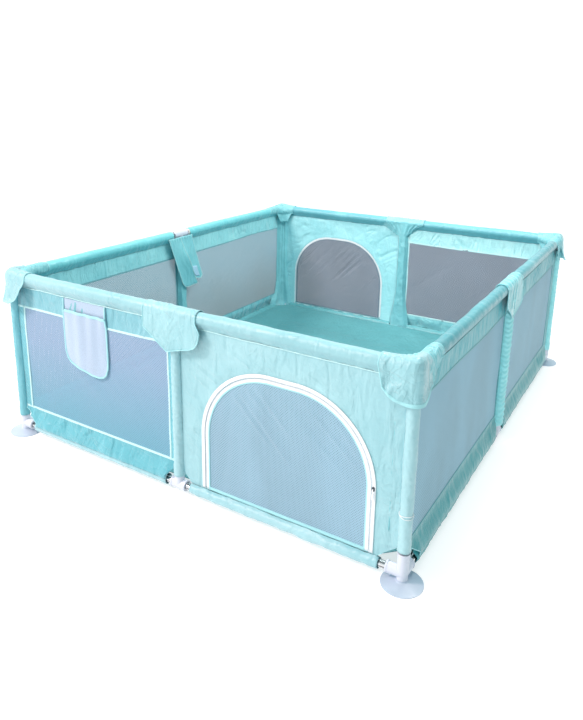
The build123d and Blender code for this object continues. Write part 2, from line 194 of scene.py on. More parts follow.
class Piece:
    """One mesh object put together from grids and tubes."""

    def __init__(self, name):
        self.name = name
        self.points, self.faces, self.marks, self.materials = [], [], [], []
        self.count = 0

    def add(self, points, faces, material):
        """Points and the faces between them, in one material."""
        if material not in self.materials:
            self.materials.append(material)
        self.points.append(np.asarray(points, float).reshape(-1, 3))
        self.faces.append(np.asarray(faces, int) + self.count)
        self.marks.append(np.full(len(faces), self.materials.index(material)))
        self.count += len(self.points[-1])

    def grid(self, p, material, thick=0.0, close_u=False, close_v=False):
        """A sheet through a grid of points; with a thickness it gets two skins and a rim."""
        nu, nv = p.shape[:2]
        ku = nu if close_u else nu - 1
        kv = nv if close_v else nv - 1
        i, j = pairs(np.arange(ku), np.arange(kv))
        i2, j2 = (i + 1) % nu, (j + 1) % nv
        quads = np.stack([i * nv + j, i2 * nv + j, i2 * nv + j2, i * nv + j2], -1)
        quads = quads.reshape(-1, 4)
        if not thick:
            return self.add(p, quads, material)
        n = grid_normals(p, close_u, close_v) * thick / 2
        size = nu * nv
        faces = [quads, quads[:, ::-1] + size]
        rims = []
        if not close_v:
            a, b = np.arange(ku), (np.arange(ku) + 1) % nu
            rims += [(a * nv, b * nv), (b * nv + nv - 1, a * nv + nv - 1)]
        if not close_u:
            a, b = np.arange(kv), (np.arange(kv) + 1) % nv
            rims += [(b, a), ((nu - 1) * nv + a, (nu - 1) * nv + b)]
        for a, b in rims:
            faces.append(np.stack([b, a, a + size, b + size], -1))
        points = np.concatenate([(p + n).reshape(-1, 3), (p - n).reshape(-1, 3)])
        return self.add(points, np.concatenate(faces), material)

    def tube(self, path, radius, material, sides=8, flat=1.0, closed=False):
        """A round cord along a line of points; flat squeezes it along Z."""
        path = np.asarray(path, float)
        if closed:
            ahead = np.roll(path, -1, 0) - np.roll(path, 1, 0)
        else:
            ahead = np.gradient(path, axis=0)
        ahead /= np.maximum(np.linalg.norm(ahead, axis=1, keepdims=True), 1e-12)
        # the first guess leans a little off Z, so that an upright cord has a side too
        side = np.cross(ahead, (0.013, 0.021, 1.0))
        small = np.linalg.norm(side, axis=1) < 0.25
        side[small] = np.cross(ahead[small], (0.0, 1.0, 0.1))
        for k in range(1, len(side)):
            if side[k] @ side[k - 1] < 0:
                side[k] *= -1
        side /= np.linalg.norm(side, axis=1, keepdims=True)
        up = np.cross(side, ahead)
        turn = np.linspace(0, TURN, sides, endpoint=False)
        ring = side[:, None] * np.cos(turn)[:, None] + up[:, None] * np.sin(turn)[:, None] * flat
        p = path[:, None] + radius * ring
        self.grid(p, material, close_u=closed, close_v=True)
        if not closed:
            start = self.count - p.shape[0] * sides
            last = start + (p.shape[0] - 1) * sides
            caps = []
            for k in range(1, sides - 1):
                caps += [[start, start + k, start + k + 1], [last, last + k + 1, last + k]]
            self.faces.append(caps)
            self.marks.append(np.full(len(caps), self.materials.index(material)))

    def make(self, body=ROOT):
        """The finished object, on a body of the frame."""
        mesh = bpy.data.meshes.new(self.name)
        faces = [list(map(int, f)) for group in self.faces for f in group]
        mesh.from_pydata(np.concatenate(self.points).tolist(), [], faces)
        for material in self.materials:
            mesh.materials.append(material)
        mesh.polygons.foreach_set("material_index", np.concatenate(self.marks).astype(int))
        mesh.polygons.foreach_set("use_smooth", np.ones(len(faces), bool))
        mesh.update()
        piece = bpy.data.objects.new(self.name, mesh)
        bpy.context.scene.collection.objects.link(piece)
        if body:
            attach(piece, body)
        return piece


# ---- materials ----


class Nodes:
    """A node tree, written as short calls."""

    def __init__(self, tree, place="Object"):
        self.tree = tree
        self.place = self.add("ShaderNodeTexCoord", place)

    def add(self, kind, output, inputs=(), **settings):
        """One output of a new node, whose inputs are given as values or as what to link to them."""
        made = self.tree.nodes.new(kind)
        for key, value in settings.items():
            setattr(made, key, value)
        for key, value in dict(inputs).items():
            self.give(made.inputs[key], value)
        return made.outputs[output]

    def give(self, socket, value):
        """Set or link one input; None leaves it as it is."""
        if isinstance(value, bpy.types.NodeSocket):
            self.tree.links.new(value, socket)
        elif value is not None:
            socket.default_value = value

    def math(self, operation, a, b=None):
        """A sum on one or two values."""
        return self.add("ShaderNodeMath", 0, {0: a, 1: b}, operation=operation)

    def waves(self, way, pitch):
        """Sine waves along one coordinate."""
        return self.math("SINE", self.math("MULTIPLY", way, TURN / pitch))

    def scaled(self, scale, turn=(0, 0, 0)):
        """Stretched and turned coordinates."""
        inputs = {"Vector": self.place, "Scale": scale, "Rotation": turn}
        return self.add("ShaderNodeMapping", 0, inputs)

    def cloud(self, place, scale, detail=2.0, rough=0.5, distort=0.0):
        """Noise from 0 to 1."""
        inputs = {"Vector": place, "Scale": scale, "Detail": detail, "Roughness": rough}
        return self.add("ShaderNodeTexNoise", "Fac", {**inputs, "Distortion": distort})

    def ramp(self, source, stops):
        """Colours in place of values."""
        made = self.tree.nodes.new("ShaderNodeValToRGB")
        while len(made.color_ramp.elements) < len(stops):
            made.color_ramp.elements.new(0.5)
        for element, (place, colour) in zip(made.color_ramp.elements, stops):
            element.position = place
            element.color = (*colour, 1)
        self.give(made.inputs["Fac"], source)
        return made.outputs["Color"]

    def spread(self, source, low, high, to_low, to_high):
        """A range of values moved onto another range."""
        inputs = {"From Min": low, "From Max": high, "To Min": to_low, "To Max": to_high}
        return self.add("ShaderNodeMapRange", "Result", {**inputs, "Value": source})

    def bump(self, height, strength, distance, under=None):
        """Bumps on top of those under them."""
        inputs = {"Strength": strength, "Distance": distance, "Height": height, "Normal": under}
        return self.add("ShaderNodeBump", "Normal", inputs)

    def split(self, source):
        """The X, Y and Z of a vector."""
        made = self.tree.nodes.new("ShaderNodeSeparateXYZ")
        self.give(made.inputs[0], source)
        return tuple(made.outputs)

    def threads(self, flat_piece=False):
        """Coordinates along and across the cloth: walls stand, the floor lies."""
        x, y, z = self.split(self.place)
        return (x, y) if flat_piece else (self.math("ADD", x, y), z)

    def creased(self, tilt, long, wide, flat_piece=False):
        """Thin broken lines that run at a tilt (degrees) across the cloth, from 0 to 1."""
        u, v = self.threads(flat_piece)
        flat = self.add("ShaderNodeCombineXYZ", 0, {0: u, 1: v})
        turn = {"Vector": flat, "Scale": (long, wide, 1), "Rotation": (0, 0, math.radians(tilt))}
        turned = self.add("ShaderNodeMapping", 0, turn, vector_type="TEXTURE")
        away = self.math("SUBTRACT", self.cloud(turned, 1.0, 1.0, 0.5, 0.5), 0.5)
        line = self.spread(self.math("ABSOLUTE", away), 0.0, 0.035, 1.0, 0.0)
        broken = self.spread(self.cloud(self.place, 9.0, 1.0), 0.42, 0.60, 0.0, 1.0)
        return self.math("MULTIPLY", line, broken)


class Material(Nodes):
    """A material's node tree."""

    def __init__(self, name):
        self.material = bpy.data.materials.new(name)
        self.material.use_nodes = True
        self.shader = self.material.node_tree.nodes["Principled BSDF"]
        super().__init__(self.material.node_tree)

    def finish(self, colour, rough, normal=None, **values):
        """The finished material; other inputs of the shader go by their names, with _ for a space."""
        values.update(Base_Color=colour, Roughness=rough, Normal=normal)
        for socket, value in values.items():
            self.give(self.shader.inputs[socket.replace("_", " ")], value)
        return self.material


def weave(m, pitch, flat_piece=False):
    """The height of a plain weave."""
    u, v = m.threads(flat_piece)
    return m.math("MULTIPLY", m.waves(u, pitch), m.waves(v, pitch))


def mottled(m, scale, colour, dark):
    """A colour with faint darker clouds in it."""
    return m.ramp(m.cloud(m.place, scale, 3.0), [(0.3, tuple(c * dark for c in colour)), (0.7, colour)])


def cloth(name, pale, deep, rough=0.40, pitch=0.0011, crumple=1.0, sheen=0.45, flat_piece=False):
    """Fine coated nylon: plain weave, soft folds, sharp creases and a satin sheen, with highlights
    painted along the creases.
    """
    m = Material(name)
    steep = m.creased(58, 0.16, 0.030, flat_piece)
    level = m.creased(-24, 0.13, 0.024, flat_piece)
    lines = m.math("MAXIMUM", steep, level)
    wide = m.cloud(m.place, 7.0, 3.0, 0.55)
    # painted highlights: where crease lines lie, the colour moves toward a paler copy of pale, as if
    # the creases caught the light
    crease_highlight = tuple(min(1.0, c * 1.22 + 0.04) for c in pale)
    mixed = m.math("ADD", wide, m.math("MULTIPLY", lines, 0.10 * crumple))
    shade = m.ramp(mixed, [(0.3, deep), (0.64, pale), (0.95, crease_highlight)])
    warp = m.cloud(m.scaled((1.0, 1.0, 0.35), (0.35, 0.5, 0.2)), 24.0, 3.0, 0.55, 0.9)
    fine = m.cloud(m.scaled((0.45, 0.45, 1.0), (0.2, -0.3, 0.4)), 70.0, 2.0, 0.6, 0.4)
    normal = m.bump(warp, min(1.0, 1.0 * crumple), 0.011)
    normal = m.bump(fine, 0.55 * crumple, 0.0026, normal)
    normal = m.bump(lines, 0.45 * crumple, 0.0018, normal)
    normal = m.bump(weave(m, pitch, flat_piece), 0.25, 0.0002, normal)
    gloss = m.spread(m.cloud(m.place, 18.0, 2.0), 0.35, 0.65, rough - 0.06, rough + 0.06)
    return m.finish(shade, gloss, normal, Sheen_Weight=sheen, Sheen_Roughness=0.35,
                    Specular_IOR_Level=0.6)


def net(name, colour, cover, rough=0.6, pitch=0.0080, low=None):
    """Warp-knit mesh: round holes in staggered rows, cut out of the sheet.

    cover is how much of the sheet is left, and low is the painted shade it takes near the floor.
    """
    m = Material(name)
    u, v = m.threads()
    bumps = m.math("MULTIPLY", m.waves(u, pitch), m.waves(v, pitch))
    edge = 2 * cover - 1
    solid = m.spread(bumps, edge - 0.12, edge + 0.12, 1.0, 0.0)
    streak = m.cloud(m.scaled((1, 1, 0.4), (0.3, 0.6, 0.2)), 5.0, 2.0, 0.5, 0.8)
    if low:
        # painted shade: toward the floor the colour goes to low
        height = m.spread(v, 0.14, 0.40, 0.0, 0.8)
        level = m.math("ADD", height, m.math("MULTIPLY", streak, 0.35))
        shade = m.ramp(level, [(0.15, low), (0.95, colour)])
    else:
        dim, lit = (tuple(c * k for c in colour) for k in (0.92, 1.06))
        shade = m.ramp(streak, [(0.35, dim), (0.65, lit)])
    return m.finish(shade, rough, m.bump(solid, 0.5, 0.0006), Alpha=solid, Sheen_Weight=0.3,
                    Sheen_Roughness=0.5, Specular_IOR_Level=0.25)


def plastic(name, colour, rough=0.3):
    """Moulded plastic with faint grain and handling marks."""
    m = Material(name)
    shade = mottled(m, 14.0, colour, 0.95)
    gloss = m.spread(m.cloud(m.place, 60.0, 4.0, 0.7), 0.3, 0.7, rough - 0.06, rough + 0.12)
    normal = m.bump(m.cloud(m.place, 420.0, 2.0), 0.08, 0.0004)
    return m.finish(shade, gloss, normal, Specular_IOR_Level=0.5, Coat_Weight=0.15, Coat_Roughness=0.2)


def steel(name):
    """Bright plated tube with fine drawn lines and painted reflections: bands of dark and bright by
    height.
    """
    m = Material(name)
    lines = m.cloud(m.scaled((1, 1, 12)), 160.0, 2.0)
    height = m.threads()[1]
    # painted reflection: the colour goes dark and bright in bands by height, as if the tube mirrored
    # its surroundings
    painted_reflection = m.math("SINE", m.math("MULTIPLY", height, 700.0))
    tone = m.math("ADD", m.math("MULTIPLY", painted_reflection, 0.28), lines)
    shade = m.ramp(tone, [(0.30, (0.16, 0.17, 0.18)), (0.60, (0.70, 0.72, 0.74))])
    gloss = m.spread(m.cloud(m.place, 35.0, 4.0, 0.7), 0.35, 0.7, 0.12, 0.3)
    return m.finish(shade, gloss, m.bump(lines, 0.05, 0.0003), Metallic=1.0)


def foam_rubber(name, colour):
    """Soft closed-cell foam."""
    m = Material(name)
    shade = mottled(m, 40.0, colour, 0.93)
    normal = m.bump(m.cloud(m.place, 900.0, 2.0), 0.6, 0.0006)
    rough = m.spread(m.cloud(m.place, 90.0, 2.0), 0.3, 0.7, 0.80, 0.92)
    return m.finish(shade, rough, normal, Specular_IOR_Level=0.2)


def tape(name, colour, pitch=0.0016):
    """Woven tape or binding with fine ribs."""
    m = Material(name)
    u, v = m.threads()
    ribs = m.waves(m.math("ADD", u, m.math("MULTIPLY", v, 1.3)), pitch)
    shade = mottled(m, 30.0, colour, 0.94)
    rough = m.spread(m.cloud(m.place, 50.0, 2.0), 0.3, 0.7, 0.5, 0.65)
    return m.finish(shade, rough, m.bump(ribs, 0.25, 0.0003), Sheen_Weight=0.3, Sheen_Roughness=0.5)


AQUA_PALE, AQUA_DEEP = (0.235, 0.610, 0.665), (0.195, 0.560, 0.620)
LOOKS = {
    "plain": {},
    "padded": {"rough": 0.36, "crumple": 0.55},
    "ruched": {"crumple": 0.9},
    "panel": {"rough": 0.35, "crumple": 0.80},
    "crisp": {"rough": 0.31, "crumple": 1.35},
}
CALM = 0.5                # the right wall's cloth is this much smoother than the others
# painted light and shade: lit and shaded copies of the one aqua cloth, how much lighter, darker or
# whiter each part of each wall is painted, against AQUA_PALE and AQUA_DEEP
LIT_AND_SHADED_TONES = {
    "front": {
        "rail": (1.21, 0.91, 0.91), "band": (0.78, 0.77, 0.82), "low": (0.50, 0.74, 0.80),
        "panel": (1.33, 0.95, 0.95), "strip": (1.05, 0.93, 0.93), "post": (1.52, 1.02, 1.01),
        "flap": (1.25, 0.94, 0.94), "tube": (1.45, 1.00, 1.00), "shaded": (0.72, 0.84, 0.89),
    },
    "right": {
        "rail": (0.16, 0.53, 0.57), "band": (0.13, 0.67, 0.71), "low": (0.20, 0.58, 0.58),
        "tube": (0.20, 0.58, 0.58), "strip": (0.90, 0.95, 0.95), "post": (1.60, 1.42, 1.36),
        "flap": (0.80, 0.95, 0.95),
    },
    "back": {
        "rail": (0.64, 0.78, 0.82), "low": (1.60, 1.32, 1.28), "tube": (0.55, 0.70, 0.70),
        "band": (2.10, 1.48, 1.40), "panel": (1.78, 1.38, 1.34), "strip": (1.25, 1.20, 1.20),
        "flap": (1.15, 1.10, 1.10),
    },
    "left": {
        "rail": (0.85, 1.10, 1.10), "band": (1.50, 1.28, 1.25), "low": (1.20, 1.15, 1.15),
        "tube": (0.60, 0.74, 0.74), "strip": (1.20, 1.15, 1.15), "post": (1.10, 1.10, 1.10),
        "flap": (1.10, 1.10, 1.10),
    },
}
AQUAS = {}


def aqua(wall, part="plain", look="plain"):
    """The aqua cloth with the light and shade of one part of a wall painted into its colour."""
    key = (wall, part, look)
    if key not in AQUAS:
        painted_light = np.array(LIT_AND_SHADED_TONES[wall].get(part, (1, 1, 1)))
        pale, deep = (tuple(float(c) for c in painted_light * tone) for tone in (AQUA_PALE, AQUA_DEEP))
        values = dict(LOOKS[look])
        if wall == "right":
            values["crumple"] = CALM * values.get("crumple", 1.0)
        AQUAS[key] = cloth(f"aqua_{wall}_{part}_{look}", pale, deep, **values)
    return AQUAS[key]


M_CLOTH = cloth("aqua_cloth", AQUA_PALE, AQUA_DEEP)
M_RUCHED = cloth("aqua_ruched_cloth", AQUA_PALE, AQUA_DEEP, crumple=0.9)
M_FLOOR = cloth("floor_cloth", (0.104, 0.360, 0.395), (0.091, 0.330, 0.362), rough=0.5, crumple=0.5,
                pitch=0.0018, sheen=0.2, flat_piece=True)
M_BIND = tape("pale_binding", (0.36, 0.74, 0.79))
# one binding tape in two copies: painted lit and pale, and painted in shade and dark
M_LIT_TRIM = tape("painted_lit_trim", (0.56, 0.88, 0.90))
M_SHADED_TRIM = tape("painted_shaded_trim", (0.13, 0.44, 0.49))
M_TAPE = tape("white_tape", (0.86, 0.92, 0.95))
M_COIL = tape("zip_coil", (0.72, 0.80, 0.86), 0.0012)
# one net in several copies, each with the light and shade of its wall and side painted in: lit outer
# plies, inner plies in painted shade, darkest on the end walls
M_NET = net("window_net", (0.25, 0.38, 0.55), 0.78, low=(0.15, 0.38, 0.51))
M_DOOR_NET = net("door_net", (0.27, 0.44, 0.56), 0.82)
M_NET_SIDE = net("side_net", (0.23, 0.47, 0.60), 0.80)
M_NET_SIDE_INNER_SHADE = net("side_net_inside", (0.26, 0.43, 0.52), 0.82, low=(0.17, 0.27, 0.31))
M_NET_END_INNER_SHADE = net("end_net_inside", (0.15, 0.19, 0.25), 0.84)
M_POCKET = net("pocket_net", (0.44, 0.58, 0.74), 0.86, pitch=0.0050)
M_PLASTIC = plastic("white_plastic", (0.64, 0.70, 0.80))
M_RUBBER = plastic("suction_rubber", (0.52, 0.62, 0.74), 0.35)
M_STEEL = steel("plated_steel")
M_FOAM = foam_rubber("rail_foam", (0.80, 0.80, 0.76))
M_SLIDER = plastic("slider_paint", (0.05, 0.06, 0.08), 0.35)
M_PATCH = tape("hook_and_loop", (0.45, 0.70, 0.88), 0.0024)

# painted light and shade on the bindings: pale lit copies on the end walls, dark shaded copies on the
# long walls: material and width
TRIM = {
    "front": (M_LIT_TRIM, 0.0075),
    "back": (M_LIT_TRIM, 0.0075),
    "left": (M_SHADED_TRIM, 0.0035),
    "right": (M_SHADED_TRIM, 0.0035),
}

# ---- rails, bands and skirts ----


def teardrop(centre, radius, seam, gap, side_rows, arc_rows):
    """Round a rail from the outer side of its seam to the inner one: d, z and the way out."""
    reach = abs(centre - seam)
    up = 1 if seam > centre else -1
    start = math.acos(radius / reach)
    turn = np.linspace(start, TURN - start, arc_rows)
    d, z = np.sin(turn), up * np.cos(turn)
    side = np.linspace(0, 1, side_rows, endpoint=False)
    edge_d = gap + (radius * d[0] - gap) * side
    edge_z = seam + (centre + radius * z[0] - seam) * side
    all_d = np.concatenate([edge_d, radius * d, -edge_d[::-1]])
    all_z = np.concatenate([edge_z, centre + radius * z, edge_z[::-1]])
    out_d = np.concatenate([np.full(side_rows, d[0]), d, np.full(side_rows, -d[0])])
    out_z = np.concatenate([np.full(side_rows, z[0]), z, np.full(side_rows, z[0])])
    return all_d, all_z, out_d, out_z


def along_wall(a, b, step):
    """Evenly spaced places from a to b."""
    return np.linspace(a, b, max(3, int(round(abs(b - a) / step)) + 1))


def from_ends(places, s):
    """How far places are from the nearer end of s."""
    return np.minimum(np.abs(places - s[0]), np.abs(places - s[-1]))


def rail_cover(wall, side, seed):
    """The padded cover of half a top rail, with its cord at the seam."""
    half = WALLS[wall][3]
    # on the left wall the covers stop a little earlier, and the bare tee shows
    start = RAIL_END + (0.010 if wall == "left" else 0)
    s = along_wall(side * start, side * (half - RAIL_END), STEP)
    d, z, out_d, out_z = teardrop(TOP_AXIS, RAIL_R, SEAM, 0.0012, 5, 27)
    ring = np.arange(len(d)) / len(d)
    S, T = pairs(s, ring)
    swell = 0.0010 * noise(S / 0.09, T * 3, seed) + 0.0008 * noise(S / 0.02, T * 5, seed + 1)
    near_seam = np.abs(2 * T - 1) ** 4
    swell += near_seam * 0.0011 * noise(S / 0.008, T * 4, seed + 2)
    swell -= 0.0012 * np.exp(-from_ends(S, s) / 0.004)
    piece = Piece(half_name("rail_cover", wall, side))
    piece.grid(put(wall, S, d + out_d * swell, z + out_z * swell), aqua(wall, "rail", "padded"),
               thick=0.0012)
    cord = put(wall, s, 0.0030 + 0.0004 * noise(s / 0.02, 0, seed + 7),
               SEAM - 0.0005 + 0.0008 * noise(s / 0.05, 0, seed + 8))
    piece.tube(cord, 0.0015, TRIM[wall][0])
    made = piece.make()
    # two straight runs down to the seam, and the arc between them
    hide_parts(f"top_sleeve_{wall}")


def foam_tube(wall, side, seed):
    """The soft foam tube round half a top rail, pinched a little here and there by its cover."""
    half = WALLS[wall][3]
    s = along_wall(side * FOAM_END, side * (half - FOAM_END), 0.008)
    turn = np.linspace(0, TURN, 28, endpoint=False)
    S, T = pairs(s, turn)
    ends = from_ends(S, s)
    pinch = 0.0008 * noise(S / 0.05, T * 2, seed) ** 2
    outer = FOAM_R - pinch - 0.0030 * np.exp(-ends / 0.003)
    outer -= 0.0007 * np.exp(-(((T - math.pi) / 0.3) ** 2))
    inner = FOAM_BORE + 0.0020 * np.exp(-ends / 0.002)
    r = np.concatenate([outer, inner[::-1]])
    S, T = np.concatenate([S, S[::-1]]), np.concatenate([T, T])
    piece = Piece(half_name("foam_tube", wall, side))
    piece.grid(put(wall, S, r * np.sin(T), TOP_AXIS + r * np.cos(T)), M_FOAM, close_u=True,
               close_v=True)
    made = piece.make()
    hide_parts("rail_foam")


def band_waves(S, Z, seed, size=1.0):
    """How far the loose cloth of a band stands off its plane."""
    across = 0.0017 * noise(S / 0.014, Z / 0.10, seed)
    across = across + 0.0018 * noise(S / 0.045, Z / 0.06, seed + 1)
    here = ease(noise(S / 0.12, 0, seed + 3) * 2 + 0.4)
    folds = 0.0050 * creases(S, Z, 62, 0.09, 0.026, seed + 2) * here
    return size * (across + folds)


def edge_band(piece, wall, s, z, high, material, thick=0.0032, d=0.0):
    """A folded binding along a line in a wall: high is its width."""
    row = np.linspace(-0.5, 0.5, 5)
    S, R = pairs(s, row)
    Z = np.broadcast_to(z, s.shape)[:, None] + R * high
    D = np.broadcast_to(d, s.shape)[:, None]
    piece.grid(put(wall, S, D, Z), material, thick=thick)


def top_band(wall, side, seed):
    """The band between a top rail's cover and a window, with its binding."""
    half = WALLS[wall][3]
    s = along_wall(side * POST_EDGE, side * (half - POST_EDGE), STEP)
    z = np.linspace(SEAM + 0.001, WINDOW_TOP, 15)
    S, Z = pairs(s, z)
    # the waves fade toward both seams
    held = bulge((SEAM - Z) / (SEAM - WINDOW_TOP)) ** 0.7
    d = band_waves(S, Z, seed) * (0.08 + held)
    if wall == "back":
        # regular gathers, which lean near the middle post
        away = np.abs(S)
        lean = 0.9 * np.exp(-away / 0.22)
        gathers = (away - lean * (Z - SEAM)) / 0.0145 + 0.5 * noise(S / 0.05, 0, seed + 4)
        d = d + 0.0027 * np.sin(TURN * gathers) * held
    if wall == "right":
        d = CALM * d
    sag = 0.004 * noise(S / 0.3, 0, seed + 9) * (SEAM - Z) / (SEAM - WINDOW_TOP)
    piece = Piece(half_name("top_band", wall, side))
    piece.grid(put(wall, S, d, Z + sag), aqua(wall, "band"), thick=CLOTH_THICK)
    trim, wide = TRIM[wall]
    edge_band(piece, wall, s, WINDOW_TOP + sag[:, -1], wide, trim, d=d[:, -1])
    made = piece.make()


def skirt(wall, side, seed):
    """The cover of half a bottom rail, with the band over it where there is a window."""
    half = WALLS[wall][3]
    door = wall in DOOR_WALLS and side == 1
    s = along_wall(side * RAIL_END, side * (half - CUT_WIDE + 0.012), STEP)
    d, z, out_d, out_z = teardrop(LOW_AXIS, SKIRT_R, DOOR_HEM if door else HEM, 0.001, 4, 24)
    ring = np.arange(len(d)) / len(d)
    S, T = pairs(s, ring)
    swell = 0.0006 + 0.0012 * noise(S / 0.022, T * 4, seed)
    swell = swell + 0.0020 * creases(S, T * 0.1, 40, 0.05, 0.016, seed + 3)
    swell -= 0.0008 * np.exp(-from_ends(S, s) / 0.004)
    piece = Piece(half_name("rail_skirt", wall, side))
    # its underside stays level, above the floor cloth
    Z = np.maximum(z + out_z * swell, 0.0165)
    piece.grid(put(wall, S, d + out_d * swell, Z), aqua(wall, "tube", "padded"), thick=0.001)
    if door:
        cord_z = DOOR_HEM - 0.0010 + 0.0006 * noise(s / 0.04, 0, seed)
        piece.tube(put(wall, s, 0.0022, cord_z), 0.0012, M_BIND)
    # two straight runs up to the seam, and the arc between them
    made = piece.make()
    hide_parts(f"bottom_sleeve_{wall}")
    if not door:
        low_band(wall, side, seed + 20)


def low_band(wall, side, seed):
    """The band between a window and a bottom rail's cover, which it overlaps."""
    half = WALLS[wall][3]
    low = 0.041
    z = np.linspace(low, WINDOW_LOW, 18)
    u = np.linspace(0, 1, max(3, int((half - 0.03) / STEP)))
    U, Z = pairs(u, z)
    # both ends are cut away round the lower connectors
    cut = np.clip((CUT_HIGH - Z) / (CUT_HIGH - HEM), 0, 1)
    far = half - POST_EDGE - (CUT_WIDE - POST_EDGE) * cut
    near = POST_EDGE + 0.030 * np.clip((0.085 - Z) / (0.085 - HEM), 0, 1)
    S = side * (near + U * (far - near))
    held = np.sin(math.pi * (Z - low) / (WINDOW_LOW - low)) ** 0.7
    onto_tube = 0.0172 * ease((0.098 - Z) / 0.050)
    slack, look = (0.5, "plain") if wall == "right" else (1.25, "crisp")
    D = onto_tube + band_waves(S, Z, seed, slack) * (0.06 + held)
    piece = Piece(half_name("low_band", wall, side))
    piece.grid(put(wall, S, D, Z), aqua(wall, "low", look), thick=CLOTH_THICK)
    trim, wide = TRIM[wall]
    edge_band(piece, wall, S[:, -1], WINDOW_LOW, wide, trim, d=D[:, -1])
    piece.tube(put(wall, S[-1], D[-1], Z[-1]), 0.0014, M_BIND)
    made = piece.make()


def strip_wide(wall, side):
    """Where the strip beside a corner post starts, from the post's axis."""
    return STRIP_CUT.get((wall, side), STRIP_WIDE)


def side_strip(wall, side, outer, seed):
    """The gathered strip of cloth between a window and a post."""
    half = WALLS[wall][3]
    if outer:
        a, b = half - strip_wide(wall, side), half - POST_EDGE
    else:
        a, b = STRIP_SLIM, POST_EDGE
    z = along_wall(WINDOW_LOW - LAP, WINDOW_TOP + LAP, 0.0025)
    u = np.linspace(0, 1, 12 if outer else 4)
    U, Z = pairs(u, z)
    S = side * (a + (b - a) * U) + side * 0.0015 * noise(Z / 0.07, 0, seed) * (1 - U)
    # slanting gathers, the deeper the wider the strip
    turn = TURN * (Z - 0.9 * np.abs(S)) / 0.015 + 2.4 * noise(Z / 0.05, U, seed)
    folds = 1 - 2 * np.abs(np.sin(turn / 2)) ** 0.8
    size = min(0.0030, 0.09 * abs(b - a)) * (0.6 + 0.4 * noise(Z / 0.06, U * 2, seed + 1))
    if outer:
        D = size * folds * bulge(U * 0.9 + 0.05)
    else:
        D = 0.0006 * folds
    piece = Piece(half_name("side_strip", wall, side) + ("_post" if outer else "_mid"))
    part = "shaded" if wall == "front" and side < 0 else "strip"
    material = aqua(wall, part, "ruched" if outer else "plain")
    piece.grid(put(wall, S, D + 0.0006, Z), material, thick=0.0014)
    trim, wide = TRIM[wall]
    across = np.linspace(-wide / 2.6, wide / 2.6, 5)
    edge = put(wall, S[0][:, None] + across, D[0][:, None] + 0.0004, Z[0][:, None])
    piece.grid(edge, trim, thick=0.0040)
    made = piece.make()


def window(wall, side, seed):
    """A mesh window in two plies: the outer one shows outside, the inner one inside, each with the
    light and shade of its side painted in.
    """
    half = WALLS[wall][3]
    far = half - strip_wide(wall, side)
    s = along_wall(side * (STRIP_SLIM - LAP), side * (far + LAP), 0.012)
    z = along_wall(WINDOW_LOW - LAP, WINDOW_TOP + LAP, 0.012)
    S, Z = pairs(s, z)
    free = bulge((Z - WINDOW_LOW) / (WINDOW_TOP - WINDOW_LOW))
    D = 0.0016 * noise(S / 0.22, Z / 0.2, seed) + 0.0016 * creases(S, Z, -35, 0.5, 0.05, seed)
    D = free * D
    piece = Piece(half_name("window", wall, side))
    outside, inside = (M_NET, M_NET_END_INNER_SHADE) if wall in DOOR_WALLS else (M_NET_SIDE, M_NET_SIDE_INNER_SHADE)
    piece.grid(put(wall, S, D - 0.0004, Z), outside)
    piece.grid(put(wall, S, D - 0.0012, Z), inside)
    made = piece.make()
    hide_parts(f"window_mesh_{wall}")


# ---- doors ----


def arch(inset, rows=(26, 34, 8), low=DOOR_LOW):
    """The door's outline from the foot of its left leg to the foot of the right one.

    rows says how many points a leg, a round corner and the flat top have.
    """
    half, top, radius = DOOR_HALF - inset, DOOR_TOP - inset, DOOR_ROUND - inset
    legs, rounds, flat = rows
    turn = np.linspace(math.pi, math.pi / 2, rounds)
    shoulder = top - radius
    leg = [np.full(legs, -half), np.linspace(low, shoulder, legs)]
    curve = [-half + radius + radius * np.cos(turn[1:]), shoulder + radius * np.sin(turn[1:])]
    over = [np.linspace(-half + radius, half - radius, flat)[1:], np.full(flat - 1, top)]
    left = np.concatenate([leg, curve], 1)
    right = left[:, -2::-1] * [[-1], [1]]
    s, z = np.concatenate([left, over, right], 1)
    return DOOR_MIDDLE + s, z


def distance(s, z):
    """How far along a line each of its points is."""
    return np.concatenate([[0], np.cumsum(np.hypot(np.diff(s), np.diff(z)))])


def resample(s, z, count):
    """Evenly spaced points along a line."""
    far = distance(s, z)
    at = np.linspace(0, far[-1], count)
    return np.interp(at, far, s), np.interp(at, far, z)


